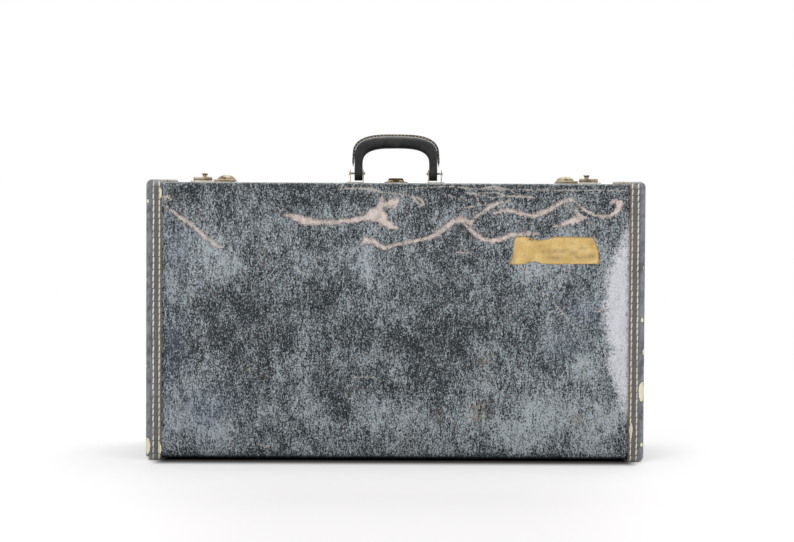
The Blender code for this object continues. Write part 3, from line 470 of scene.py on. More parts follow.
def carve(bm, tool):
    """Take the tool's shape out of another."""
    body, cutter = temporary(bm), temporary(tool)
    step = body.modifiers.new("carve", "BOOLEAN")
    step.operation = "DIFFERENCE"
    step.solver = "EXACT"
    step.object = cutter
    shape = settled(body)
    bpy.data.objects.remove(cutter, do_unlink=True)
    return shape


def thickened(bm, thickness):
    """Give an open sheet a wall that grows inwards."""
    body = temporary(bm)
    step = body.modifiers.new("wall", "SOLIDIFY")
    step.thickness = thickness
    step.offset = -1
    step.use_even_offset = True
    return settled(body)


def add_piece(name, bm, finish, body, slot, *replaced, smooth_to=40):
    """Make a finished shape an object that rides on a body and stands for CAD nodes."""
    mesh = bpy.data.meshes.new(name)
    bm.to_mesh(mesh)
    bm.free()
    mesh.materials.append(finish)
    mesh.shade_smooth()
    mesh.set_sharp_from_angle(angle=math.radians(smooth_to))
    obj = bpy.data.objects.new(name, mesh)
    bpy.context.scene.collection.objects.link(obj)
    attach(obj, body)
    if replaced:
        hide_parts(*replaced)
    print(f"{name}: {len(mesh.vertices)} points, {len(mesh.polygons)} faces")
    return obj


def paint(obj, attribute, values):
    """Store one number for each point, for the finish to read."""
    layer = obj.data.attributes.new(attribute, "FLOAT", "POINT")
    layer.data.foreach_set("value", np.asarray(values, np.float32))


def points_of(obj):
    flat = np.zeros(len(obj.data.vertices) * 3, np.float32)
    obj.data.vertices.foreach_get("co", flat)
    return flat.reshape(-1, 3).astype(float)


# %% [markdown]
# The covering is paper printed with a fine fibrous mottle and varnished. Decades of rubbing left pink
# scuffs where the print is torn from its backing, thin scratches and stains. The pale patch by the
# right binding is a painted reflection on the varnish. The marks are laid out as pixels of the
# picture: a stroke is a row of (x, y, width), and a blot is (x, y, half width, half height). Painting
# them as numbers on the mesh's points keeps the finish procedural, and one recipe then serves both
# trays.

# %% Marks on the lid
SCUFFS = {
    "left_bar": [(283, 215, 0.4), (289, 215.6, 2), (294, 216.6, 5), (299, 218.6, 7.5), (305, 220.8, 8),
                 (312, 222, 5.4), (321, 222.4, 4), (335, 222, 3.4), (349, 220.6, 4), (361, 218.8, 5)],
    "fan_root": [(361, 218.8, 4), (368, 217, 8), (374, 214.8, 12), (379, 214, 13), (383, 215.6, 9)],
    "fan_up": [(378, 211, 9), (380.5, 205, 6), (382, 199.5, 4), (382.5, 196, 1)],
    "fan_knob": [(382, 203, 4), (388, 204, 6), (393.5, 203.6, 9), (397, 201, 5), (395.6, 197.5, 1.5)],
    "fan_down": [(379, 217.6, 10), (385, 222, 8), (391, 225.8, 5.4), (396.5, 227.4, 3)],
    "middle_curl": [(361, 244, 1.5), (366, 240.6, 5), (372, 241.6, 4.5), (379, 244.6, 4), (385, 247.6, 3.4),
                    (391, 246.4, 3), (398, 243.8, 2.6), (408, 242, 2.4), (418, 240.6, 2.6), (428, 238.4, 3),
                    (435, 235, 4), (441, 231, 4.6), (447, 226, 4.6), (453, 221.6, 4.4), (460, 219.6, 5.4),
                    (466, 220.6, 6), (471, 224, 3)],
    "curl_tip": [(365, 239, 3), (370, 238.4, 2), (376, 241.4, 1.4)],
    "up_branch": [(470, 222.6, 3), (476, 217.4, 1.6), (482, 212.6, 1.8), (488, 208, 4), (493, 205, 4),
                  (500, 202.6, 1.2), (510, 200.8, 0.8)],
    "down_branch": [(466, 226, 2), (471, 230, 2.6), (476, 235, 3.4), (483, 239, 3.8), (491, 241, 4),
                    (499, 239.6, 4.6), (507, 236.6, 4.2), (515, 234.6, 3), (525, 233.6, 3), (538, 233.8, 1)],
    "upper_wave": [(494, 213, 1.4), (500, 211, 2.6), (507, 210.4, 3.2), (515, 211.8, 3.4), (524, 214.2, 3.4),
                   (533, 216.2, 3.6), (541, 214, 3.6), (549, 210, 3.4), (557, 205.6, 3.2), (563, 201, 2.8),
                   (569, 199.4, 2.6), (574, 200.8, 2.2), (579, 205.4, 2), (586, 211, 2), (594, 215.4, 2.2),
                   (602, 216.8, 2.4), (609, 215.8, 2.6), (615, 213, 4), (619, 208, 5.5), (620, 204, 6),
                   (616, 201.4, 3), (611, 202.4, 2)],
    "wave_spur": [(554, 226.4, 1), (560, 225, 2.6), (567, 222.6, 5), (574, 219.6, 6), (580, 219, 5),
                  (584.6, 217.4, 2.4), (577, 214.6, 3.4), (576, 207.6, 1.4)],
    "diagonal": [(166, 206, 0.8), (172, 210.6, 1.8), (178, 215.8, 2.4), (184, 220, 3), (191, 224.6, 3.6),
                 (198, 230, 3.4), (204, 236, 3.6), (210, 241, 3), (217, 246, 2.6), (224, 247.4, 1)],
    "corner_nick": [(162.5, 197, 1.8), (167, 196.6, 2.4), (171, 198.6, 1.2)],
}
SCRATCHES = {
    "top_dash": [(334, 189.8, 0.6), (345, 188.8, 1.4), (357, 188.2, 2), (368, 188.8, 2.6), (377, 190.6, 2.2),
                 (383, 192.6, 1)],
    "top_line": [(408, 188.4, 0.5), (430, 187.2, 0.8), (452, 186.2, 1.1), (462, 187.8, 1.4), (474, 189, 1),
                 (506, 189.6, 0.9), (560, 190.2, 0.8), (629, 190.6, 0.9)],
    "second_line": [(466, 193, 1.2), (476, 193.6, 1.5), (496, 192.4, 1), (508, 196, 1.5), (522, 196.4, 2.2),
                    (536, 198, 1.2)],
    "third_line": [(478, 189.2, 0.8), (492, 186.8, 1.6), (505, 188.2, 1.4), (513, 192, 0.8)],
    "hook": [(412, 196, 2.4), (415.5, 200.6, 2), (419.5, 204.4, 1.2)],
    "hook_bow": [(418, 198, 1.4), (422.6, 200.6, 2.8), (423.2, 204.2, 2.6), (419.6, 206.4, 1.2)],
    "nick": [(476.8, 194.8, 1.6), (477.6, 200, 1.2), (478.2, 205.3, 1.8)],
    "wiggle": [(478, 195.4, 0.8), (484, 195.2, 1.6), (492, 198, 0.8), (506, 195.6, 0.8), (519, 196.8, 0.8)],
    "upper_spur": [(458, 209.4, 0.7), (466, 207.4, 1), (478, 205.6, 0.9), (496, 203.6, 0.7)],
    "hairline_a": [(500, 331, 0.2), (507, 321, 0.7), (514, 312, 0.2)],
    "hairline_b": [(548, 295, 0.2), (556, 305, 0.7), (566, 317, 0.7), (576, 329, 0.2)],
    "hairline_c": [(521, 266, 0.2), (530, 281, 0.6), (541, 296, 0.2)],
    "hairline_d": [(233, 318, 0.2), (239, 330, 0.6), (243, 342, 0.2)],
    "hairline_e": [(286, 262, 0.2), (297, 270, 0.6), (309, 276, 0.2)],
    "hairline_f": [(433, 398, 0.2), (445, 409, 0.6), (452, 421, 0.2)],
    "low_dash": [(455.7, 252.3, 1.6), (462, 253, 0.8), (468.4, 253, 1.2)],
    "hair_a": [(381, 192, 0.5), (394, 193.2, 1.4), (410, 196, 0.8)],
    "hair_b": [(441, 193, 0.5), (461, 199, 0.5), (470, 200, 0.4)],
    "pale_dash": [(352, 377, 0.7), (374, 377.4, 0.5)],
    "low_crease": [(258, 444, 0.6), (269, 447, 0.7)],
    "left_rub": [(177.5, 444, 1.4), (180, 455, 0.8)],
    "chip": [(597.4, 312, 1.2), (600, 310.8, 2.4), (602, 308.8, 1)],
}
STAINS = [
    (484.5, 360.5, 7, 8), (478, 413, 10, 8), (481, 405, 4, 4), (349.7, 393, 4, 4), (361.4, 388.8, 2.5, 2.5),
    (350, 443, 4, 3), (236, 236, 2, 2), (262.4, 263.4, 2.4, 2), (264, 376.6, 2.4, 2), (246, 367, 6, 5),
    (437, 414, 6, 6), (578, 421, 7, 7), (476, 420, 8, 5), (617, 301.4, 2.2, 1.2),
]
DARK_CLOUDS = [
    (185, 197, 30, 9), (300, 199, 40, 9), (350, 200, 34, 7), (449, 200, 24, 17), (520, 200, 30, 8),
    (307, 240, 20, 9), (453, 242, 16, 13), (553, 221, 14, 10), (485, 222, 9, 8), (600, 204, 14, 8),
    (328, 310, 11, 24), (283, 336, 15, 11), (243, 307, 17, 11), (232, 347, 14, 13), (177, 350, 20, 22),
    (328, 390, 12, 13), (321, 362, 11, 16), (355, 290, 10, 12), (435, 300, 14, 22), (433, 341, 20, 15),
    (397, 344, 14, 10), (438, 391, 13, 15), (473, 331, 15, 10), (522, 326, 26, 18), (568, 294, 15, 13),
    (573, 389, 15, 12), (373, 380, 20, 16), (253, 390, 30, 12), (272, 428, 14, 8), (340, 272, 12, 9),
    (540, 362, 16, 10), (450, 270, 14, 16), (340, 416, 14, 12), (462, 226, 7, 6), (250, 330, 60, 40),
    (430, 350, 50, 60),
]
PALE_CLOUDS = [
    (215, 241, 22, 14), (213, 262, 28, 18), (303, 264, 14, 10), (373, 241, 12, 7), (373, 263, 26, 16),
    (213, 430, 22, 15), (540, 411, 42, 22), (601, 428, 22, 20), (583, 367, 16, 14), (582, 317, 12, 10),
    (550, 337, 9, 8), (393, 367, 9, 11), (393, 414, 34, 16), (178, 411, 16, 12), (470, 277, 10, 7),
    (540, 430, 60, 22), (560, 252, 55, 18), (485, 380, 14, 14),
]
# The outline of the pale patch, a painted reflection on the varnish.
PALE_PATCH = [
    (631, 228), (629, 228), (620, 245), (612, 262), (607, 280), (604.6, 313), (606, 334), (611, 350),
    (606, 360), (611, 378), (619, 397), (625, 410), (628, 416), (631, 416),
]
BLUE_BLOTS = [(606.5, 387, 5, 9), (178, 250, 14, 30), (176, 340, 12, 30), (205, 415, 34, 30),
              (585, 310, 22, 14), (560, 345, 26, 16)]

FAR_AWAY = 1000.0
FADE_MM = 4.0
PATCH_FADE_MM = 17.0
LOW_SHADOW_MM = 5.5
SEAM_SHADOW_MM = 1.4
SEAM_CUTS_MM = (0.7, 1.5)
TOP_SHADE_MM = 8.0


def lid_marks(pixels, plane_y):
    """Rows of pixels and sizes as rows of millimetres on a plane that faces the front."""
    scale = (on_plane((398, 271), plane_y) - on_plane((397, 271), plane_y)).x / MM
    rows = []
    for x, y, *sizes in pixels:
        place = on_plane((x, y), plane_y) / MM
        rows.append((place.x, place.z, *[size * scale for size in sizes]))
    return rows


def outside_strokes(places, strokes):
    """How far each place is outside the nearest stroke, in mm. Inside it is negative."""
    best = np.full(len(places), FAR_AWAY)
    for stroke in strokes:
        for start, end in zip(stroke, stroke[1:]):
            run = np.subtract(end[:2], start[:2])
            off = places - np.array(start[:2])
            share = np.clip(off @ run / (run @ run), 0, 1)
            half = (start[2] + (end[2] - start[2]) * share) / 2
            best = np.minimum(best, np.hypot(*(off - share[:, None] * run).T) - half)
    return best


def blots(places, rows):
    """Soft round blots, 1 in the middle of one and less outside it."""
    total = np.zeros(len(places))
    for x, z, wide, high in rows:
        total += np.exp(-(((places[:, 0] - x) / wide) ** 2) - ((places[:, 1] - z) / high) ** 2)
    return total


def outside_outline(places, outline):
    """How far each place is outside a closed outline, in mm. Inside it is negative."""
    closed = outline + outline[:1]
    edge = outside_strokes(places, [[(x, z, 0) for x, z in closed]])
    inside = np.zeros(len(places), bool)
    for (x0, z0), (x1, z1) in zip(closed, closed[1:]):
        if z0 != z1:
            crossing = (places[:, 1] > min(z0, z1)) & (places[:, 1] <= max(z0, z1))
            reach = x0 + (places[:, 1] - z0) / (z1 - z0) * (x1 - x0)
            inside ^= crossing & (places[:, 0] < reach)
    return np.where(inside, -edge, edge)


print(len(SCUFFS), "scuffs,", len(SCRATCHES), "scratches,", len(STAINS), "stains")

# %% [markdown]
# The mottle is a sum of noises. A fine one gives the flecks, a coarse drift and streaks move the
# balance of dark and pale, and thin hairs lie in two directions, as fibres do. Rare small flecks
# along the hairs are painted glints, highlights on the varnish. Painted numbers add what belongs to
# one place: the clouds with painted shade near the top and bottom edges, the stains, a painted shadow
# along the bottom and the seam, the pale patch that is a painted reflection, a pale line on the upper
# edge that is both wear and a painted highlight, and the distance from each scuff, whose edge more
# noise then breaks up. Each row of MOTTLE holds the grains in a metre, the detail, roughness and
# swirl, how far it is squashed upwards, and its tilt in degrees.

# %% Covering finish
INK = (0.008, 0.0125, 0.016)
FIBRE = (0.42, 0.475, 0.51)
GLINT_COLOUR = (0.60, 0.65, 0.67)
WARM_DUST = (0.33, 0.29, 0.21)
BLUE_INK = (0.16, 0.22, 0.32)
BACKING_PALE = (0.80, 0.70, 0.645)
BACKING_DULL = (0.50, 0.42, 0.385)
STAIN_BROWN = (0.25, 0.17, 0.085)
REFLECTION_PALE = (0.76, 0.775, 0.825)
SCRATCH_AND_HIGHLIGHT_PALE = (0.60, 0.53, 0.48)
COVERING_SHEEN = 0.28
MOTTLE = {
    "flecks": (560.0, 2.6, 0.66, 0.30, 0.74, 14),
    "drift": (25.0, 5.0, 0.70, 0.5, 0.85, 35),
    "streaks": (120.0, 2.0, 0.6, 1.2, 0.45, 36),
    "hairs": (430.0, 1.5, 0.5, 0.7, 0.26, 38),
    "cross_hairs": (430.0, 1.5, 0.5, 0.7, 0.26, -24),
    "painted_glints": (760.0, 1.5, 0.6, 0.4, 0.5, 38),
}
DRIFT_WEIGHT, STREAK_WEIGHT, HAIR_WEIGHT, CLOUD_AND_SHADE_WEIGHT = 0.46, 0.34, 0.38, 0.068
TONE_BAND = (0.985, 1.285)
PAPER_DENT, PAPER_RELIEF = 0.35 * MM, 0.10 * MM


def covering_finish():
    r = Recipe("mottled_covering")
    flecks, drift, streaks, hairs, cross_hairs, painted_glints = (
        r.noise(*sizes, r.stretched((1, 1, squash), (0, tilt, 0)))
        for *sizes, squash, tilt in MOTTLE.values()
    )
    either = r.band(r.noise(34.0, 2.0, 0.6), 0.44, 0.56)
    hairs = r.plus(r.times(hairs, r.maths("SUBTRACT", 1.0, either)), r.times(cross_hairs, either))
    shade = r.times_plus(drift, DRIFT_WEIGHT, r.times_plus(streaks, STREAK_WEIGHT, flecks))
    shade = r.times_plus(hairs, HAIR_WEIGHT, shade)
    # The clouds also carry painted shade near the top and bottom edges and off the large face.
    shade = r.times_plus(r.painted("cloud_and_shade"), CLOUD_AND_SHADE_WEIGHT, shade)
    tone = r.band(shade, *TONE_BAND)
    colour = r.blend(tone, INK, FIBRE)
    # Painted highlights: rare small glints along the hairs.
    colour = r.coat(colour, r.band(painted_glints, 0.62, 0.68), 0.72, GLINT_COLOUR)
    warm = r.band(r.noise(30.0, 3.0, 0.6, 0.5), 0.50, 0.74)
    colour = r.coat(colour, warm, 0.30, r.blend(tone, INK, WARM_DUST))
    colour = r.coat(colour, r.painted("blue"), 0.16, BLUE_INK)
    dusty = r.times(r.painted("stain"), r.band(r.noise(150.0, 4.0, 0.7), 0.40, 0.66))
    colour = r.coat(colour, r.maths("MINIMUM", dusty, 1.0), 0.55, STAIN_BROWN)
    coarse = r.times_plus(r.noise(190.0, 3.0, 0.6), 9.0, -4.5)
    speckled = r.times_plus(r.noise(640.0, 2.0, 0.6), 13.0, -6.5)
    ragged = r.plus(coarse, speckled)
    # Painted reflection: the pale patch by the right binding.
    reflection_edge = r.times_plus(ragged, 0.16, r.painted("patch"))
    painted_reflection = r.times(r.band(reflection_edge, 0.10, 0.95), r.band(tone, 0.0, 0.8, 0.80, 0.94))
    colour = r.blend(painted_reflection, colour, REFLECTION_PALE)
    # Wear and a painted highlight: a pale line along the upper edge, where the rounded edge catches light.
    rubbed_and_highlit = r.times(r.painted("edge"), r.band(r.noise(300.0, 3.0, 0.7), 0.30, 0.52))
    colour = r.coat(colour, rubbed_and_highlit, 0.62, SCRATCH_AND_HIGHLIGHT_PALE)
    scraped = r.plus(r.painted("scratch"), r.times(ragged, 0.42))
    colour = r.coat(colour, r.band(scraped, FADE_MM - 0.7, FADE_MM + 0.8), 0.72, SCRATCH_AND_HIGHLIGHT_PALE)
    colour = r.coat(colour, r.band(r.painted("scuff"), 0.0, FADE_MM - 0.4), 0.42, INK)
    bared = r.plus(r.painted("scuff"), r.times(ragged, 0.80))
    torn = r.band(bared, FADE_MM - 2.0, FADE_MM + 2.0)
    pulp = r.blend(r.band(r.noise(170.0, 4.0, 0.7), 0.30, 0.66), BACKING_DULL, BACKING_PALE)
    pulp = r.coat(pulp, r.band(flecks, 0.58, 0.70), 0.30, BACKING_DULL)
    colour = r.coat(colour, torn, 0.95, pulp)
    # Painted shadow: near black along the bottom edge, over the gap under the case, and along the seam.
    colour = r.blend(r.band(r.painted("gap_shadow"), 0.0, 0.8, 0.0, 0.92), colour, INK)
    rough = r.plus(r.times_plus(flecks, 0.20, 0.36), r.times(torn, 0.35))
    dents = r.bump(r.noise(22.0, 2.0), PAPER_DENT)
    relief = r.plus(r.times(flecks, 0.6), r.times(torn, -0.9))
    return r.finish(Base_Color=colour, Roughness=rough, Specular_IOR_Level=COVERING_SHEEN,
                    Normal=r.bump(relief, PAPER_RELIEF, dents))


covering = covering_finish()
print(covering.name, "has", len(covering.node_tree.nodes), "nodes")

# %% [markdown]
# Each tray is carved the way the real one is pressed: a block with rounded outer edges, hollowed from
# the seam, with two notches for the hinges' knuckles. The large face is a grid of about 4.6 mm, and
# only the faces near a scuff are cut finer, so the torn paper can be a true hollow with a lifted edge.
# Two cuts close to the seam let a painted shadow line be drawn where the two trays meet.

# %% Covered trays
BOARD = 5 * MM
COVER_RADIUS = 4 * MM
COVER_SEGMENTS = 8
GRID = 4.6 * MM
OVERRUN = 4 * MM
FINE_CUTS = 5
FINE_REACH_MM = 3.5
TEAR_DEPTH = 0.22 * MM
LIP_HEIGHT = 0.16 * MM
LIP_WIDTH_MM = 0.9
LIP_WAVES = (2.3 * MM, 1.7 * MM)
NOTCH_SLACK, NOTCH_CLEAR = 1.0 * MM, 0.5 * MM
OUTER_SKIN = 1.0 * MM
PALE_EDGE_REACH = 2.2 * MM
LOW_SHADE_MM = 5.0
PALE_MOST, DARK_MOST = 1.4, 1.6
LOW_SHADE, TOP_SHADE, INNER_SHADE = 1.4, 1.5, -0.2


def seam_of(tray, low, high):
    return high.y if tray == "lid" else low.y


def hinge_notch(side):
    low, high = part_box(f"{side}_hinge_pin")
    middle = (low + high) / 2
    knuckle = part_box(f"{side}_hinge_base_leaf")[1].z - middle.z
    radius = max(knuckle, (high.z - low.z) / 2) + NOTCH_CLEAR
    return rod(radius, low.x - NOTCH_SLACK, high.x + NOTCH_SLACK, (middle.y, middle.z))


def tray_shape(tray):
    low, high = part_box(f"{tray}_shell")
    seam = seam_of(tray, low, high)
    bm = block(low, high)
    outer = [e for e in bm.edges if not all(on_face(v, 1, seam) for v in e.verts)]
    round_edges(bm, outer, COVER_RADIUS, COVER_SEGMENTS)
    slice_across(bm, 0, GRID)
    slice_across(bm, 2, GRID)
    for inwards_mm in SEAM_CUTS_MM:
        cut_at(bm, 1, seam + math.copysign(inwards_mm * MM, low.y + high.y - 2 * seam))
    inset = Vector((BOARD, 0, BOARD))
    floor_side = Vector((0, BOARD, 0))
    if tray == "lid":
        room = block(low + inset + floor_side, high - inset + Vector((0, OVERRUN, 0)))
    else:
        room = block(low + inset - Vector((0, OVERRUN, 0)), high - inset - floor_side)
    bm = carve(bm, room)
    for side in ("left", "right"):
        bm = carve(bm, hinge_notch(side))
    return bm


def near_strokes(bm, strokes, face_y):
    """The faces of the large face that lie close to a stroke."""
    flat = [f for f in bm.faces if all(on_face(v, 1, face_y) for v in f.verts)]
    centres = np.array([f.calc_center_median() for f in flat])[:, [0, 2]] / MM
    gaps = outside_strokes(centres, strokes)
    return [f for f, gap in zip(flat, gaps) if gap < FINE_REACH_MM]


def tear_paper(bm, scuffs, face_y, inwards):
    """Sink the large face inside the scuffs, and lift a wavy lip round them."""
    faced = [v for v in bm.verts if on_face(v, 1, face_y)]
    places = np.array([(v.co.x, v.co.z) for v in faced]) / MM
    for vert, gap in zip(faced, outside_strokes(places, scuffs)):
        sink = TEAR_DEPTH * min(max(-gap / LIP_WIDTH_MM, 0), 1)
        lift = LIP_HEIGHT * math.exp(-((gap / LIP_WIDTH_MM - 0.6) ** 2) * 2)
        wave = 0.5 + 0.5 * math.sin(vert.co.x / LIP_WAVES[0]) * math.cos(vert.co.z / LIP_WAVES[1])
        vert.co.y += inwards * (sink - lift * wave)


def pale_edge_share(points, top, outer_y):
    """How near each point is to the tray's long upper edge, from 1 on it to 0 where its pale line ends."""
    to_edge = np.hypot(np.abs(points[:, 1] - outer_y), np.abs(points[:, 2] - top))
    return np.clip(1 - to_edge / PALE_EDGE_REACH, 0, 1)


def dress_tray(tray, marks):
    """Make one covered tray and paint its marks on it. marks holds strokes in mm by kind."""
    low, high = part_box(f"{tray}_shell")
    outer_y = low.y if tray == "lid" else high.y
    bm = tray_shape(tray)
    near = near_strokes(bm, marks["scuff"] + marks["scratch"], outer_y)
    edges = list({e for f in near for e in f.edges})
    bmesh.ops.subdivide_edges(bm, edges=edges, cuts=FINE_CUTS, use_grid_fill=True)
    tear_paper(bm, marks["scuff"], outer_y, 1 if tray == "lid" else -1)
    obj = add_piece(f"{tray}_covering", bm, covering, tray, "covering", f"{tray}_shell")
    points = points_of(obj)
    places = points[:, [0, 2]] / MM
    outer = np.abs(points[:, 1] - outer_y) < OUTER_SKIN
    for kind in ("scuff", "scratch"):
        gap = outside_strokes(places, marks[kind])
        paint(obj, kind, np.where(outer, np.clip(FADE_MM - gap, 0, None), 0))
    # The pale patch is a painted reflection.
    patch = outside_outline(places, marks["patch"]) if marks["patch"] else FAR_AWAY
    paint(obj, "patch", np.where(outer, np.clip(0.5 - patch / PATCH_FADE_MM, 0, 1), 0))
    for kind in ("stain", "blue"):
        paint(obj, kind, np.where(outer, blots(places, marks[kind]), 0))
    above_low = places[:, 1] - low.z / MM
    below_top = high.z / MM - places[:, 1]
    to_seam = np.abs(points[:, 1] - seam_of(tray, low, high)) / MM
    # Painted shadow along the bottom edge, where the case stands on its bindings, and along the seam.
    gap_shadow = np.maximum(1 - above_low / LOW_SHADOW_MM, 1 - to_seam / SEAM_SHADOW_MM)
    paint(obj, "gap_shadow", np.clip(gap_shadow, 0, 1))
    cloud_and_shade = np.clip(blots(places, marks["pale"]), 0, PALE_MOST)
    cloud_and_shade -= np.clip(blots(places, marks["dark"]), 0, DARK_MOST)
    # Painted shade: the large face darkens towards its bottom and top edges, and all other faces are darker
    # still.
    cloud_and_shade -= LOW_SHADE * np.exp(-above_low / LOW_SHADE_MM) + TOP_SHADE * np.exp(-below_top / TOP_SHADE_MM)
    paint(obj, "cloud_and_shade", np.where(outer, cloud_and_shade, INNER_SHADE))
    paint(obj, "edge", pale_edge_share(points, high.z, outer_y))


panel_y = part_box("lid_shell")[0].y
blot_pixels = {"patch": PALE_PATCH, "stain": STAINS, "blue": BLUE_BLOTS, "pale": PALE_CLOUDS,
               "dark": DARK_CLOUDS}
lid_wear = {kind: lid_marks(pixels, panel_y) for kind, pixels in blot_pixels.items()}
for kind, strokes in (("scuff", SCUFFS), ("scratch", SCRATCHES)):
    lid_wear[kind] = [lid_marks(stroke, panel_y) for stroke in strokes.values()]
dress_tray("lid", lid_wear)

# %% [markdown]
# The back of the case shows the same kind of life, but milder. Its strokes and clouds are drawn with
# a seeded random walk, so they come out the same on every run. A row of BACK_STROKES holds how many
# there are, how far out they start, their shortest and longest, and their width, all in mm. A row of
# BACK_BLOTS holds how many, and the smallest and largest.

# %% Marks on the back
BACK_SEED = 7
BACK_STROKES = {"scuff": (4, 220, 30, 80, 3.5), "scratch": (9, 240, 15, 70, 1.2)}
BACK_BLOTS = {"stain": (12, 3, 18), "blue": (4, 15, 35), "pale": (16, 12, 40), "dark": (16, 12, 34)}
WALK_STEPS = 6
BACK_WIDTH_SHARE = 0.9


def wandering_stroke(rng, half_wide, high, length, width):
    """A stroke that wanders across a face, in mm."""
    x, z = rng.uniform(-half_wide, half_wide), rng.uniform(0.12 * high, 0.9 * high)
    heading = rng.uniform(-0.5, 0.5)
    stroke = []
    for step in range(WALK_STEPS):
        swell = math.sin(math.pi * (step + 0.6) / (WALK_STEPS + 0.4))
        stroke.append((x, z, width * swell))
        heading += rng.uniform(-0.7, 0.7)
        x += length / (WALK_STEPS - 1) * math.cos(heading)
        z += length / (WALK_STEPS - 1) * math.sin(heading)
    return stroke


def random_blots(rng, count, half_wide, high, smallest, largest):
    rows = []
    for _ in range(count):
        size = rng.uniform(smallest, largest)
        place = (rng.uniform(-half_wide, half_wide), rng.uniform(0, high))
        rows.append((*place, size * rng.uniform(0.8, 1.6), size))
    return rows


rng = random.Random(BACK_SEED)
half_wide = BACK_WIDTH_SHARE * cad_box[1].x / MM
case_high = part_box("base_shell")[1].z / MM
base_wear = {"patch": []}
for kind, (count, reach, shortest, longest, width) in BACK_STROKES.items():
    base_wear[kind] = [wandering_stroke(rng, reach, case_high, rng.uniform(shortest, longest), width)
                       for _ in range(count)]
for kind, (count, smallest, largest) in BACK_BLOTS.items():
    base_wear[kind] = random_blots(rng, count, half_wide, case_high, smallest, largest)
dress_tray("base", base_wear)

# %% [markdown]
# The ends of both trays are bound with leather, sewn on with two rows of waxed thread. A binding
# starts as an open sheet: the outer box with its edges rolled, without the sides at the seam and
# towards the middle, and with a window carved over the end wall. A Solidify step gives it the hide's
# thickness. Then each point is pressed in or let out, so the rows lie in furrows with a soft ridge
# between them. Slivers are merged before the wall is made, because they would throw stray points.

# %% Binding sizes
HIDE = 3.0 * MM
ROLL_RADIUS = 7.3 * MM
ROLL_SEGMENTS = 10
BINDING_GRID = 2.0 * MM
ROW_OFFSETS_MM = (9.5, 16.8)
BINDING_WIDTH_MM = 19.5
END_BORDER = 14.0 * MM
WINDOW_CORNER = 6.0 * MM
WINDOW_SEGMENTS = 6
DEEP = 0.5 * MM
FURROW_MM = 0.52
FURROW_HALF_MM = 0.85
SEWN_SINK_MM = 0.16
EVEN_SHARE, HOLE_SHARE = 0.80, 0.20
CURL_FROM_MM, CURL = BINDING_WIDTH_MM - 0.9, 0.45
UNDULATION_MM, UNDULATION_LENGTH = 0.14, 9 * MM
STITCH_PITCH = 7.8 * MM
ROW_CUTS_MM = (-1.4, -0.7, 0, 0.7, 1.4)
RIDGE_CUTS_MM = (8.1, 12, 13.2, 14.3, 18.9)
CUTS_MM = [row + step for row in ROW_OFFSETS_MM for step in ROW_CUTS_MM] + list(RIDGE_CUTS_MM)
TRAYS = ("lid", "base")
ENDS = {"left": -1, "right": 1}
FAR_SIDE = 1.0
SLIVER = 0.03 * MM
STRAY = 1.6
FACING = 0.7
CASE_HALF = cad_box[1].x
CASE_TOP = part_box("base_left_binding")[1].z
INWARDS = {"lid": 1, "base": -1}
WALL = {"lid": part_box("lid_left_binding")[0].y, "base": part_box("base_left_binding")[1].y}
BINDING_BOX = {(tray, end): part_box(f"{tray}_{end}_binding") for tray in TRAYS for end in ENDS}


def skin(tray, point):
    """How far a point lies outside a binding's rolled outer surface, and which way is out there."""
    middle = Vector((0, WALL[tray] + INWARDS[tray] * FAR_SIDE / 2, CASE_TOP / 2))
    half = Vector((CASE_HALF, FAR_SIDE / 2, CASE_TOP / 2))
    off = point - middle
    past = [abs(off[n]) - (half[n] - ROLL_RADIUS) for n in range(3)]
    out = Vector([max(past[n], 0) * math.copysign(1, off[n]) for n in range(3)])
    if out.length < TINY:
        axis = max(range(3), key=lambda n: past[n])
        out[axis] = math.copysign(1, off[axis])
        return past[axis] - ROLL_RADIUS, out
    return out.length - ROLL_RADIUS, out.normalized()


def sewn_sink(from_end_mm, along_mm):
    """How deep the sewing presses the leather in, in mm, by the distance from the case's end."""
    sink = 0.0
    for row in ROW_OFFSETS_MM:
        hole = EVEN_SHARE + HOLE_SHARE * math.cos(2 * math.pi * along_mm * MM / STITCH_PITCH)
        sink += FURROW_MM * hole * math.exp(-(((from_end_mm - row) / FURROW_HALF_MM) ** 2))
    if from_end_mm > ROW_OFFSETS_MM[0]:
        sink += SEWN_SINK_MM
    return sink + CURL * max(from_end_mm - CURL_FROM_MM, 0) ** 2


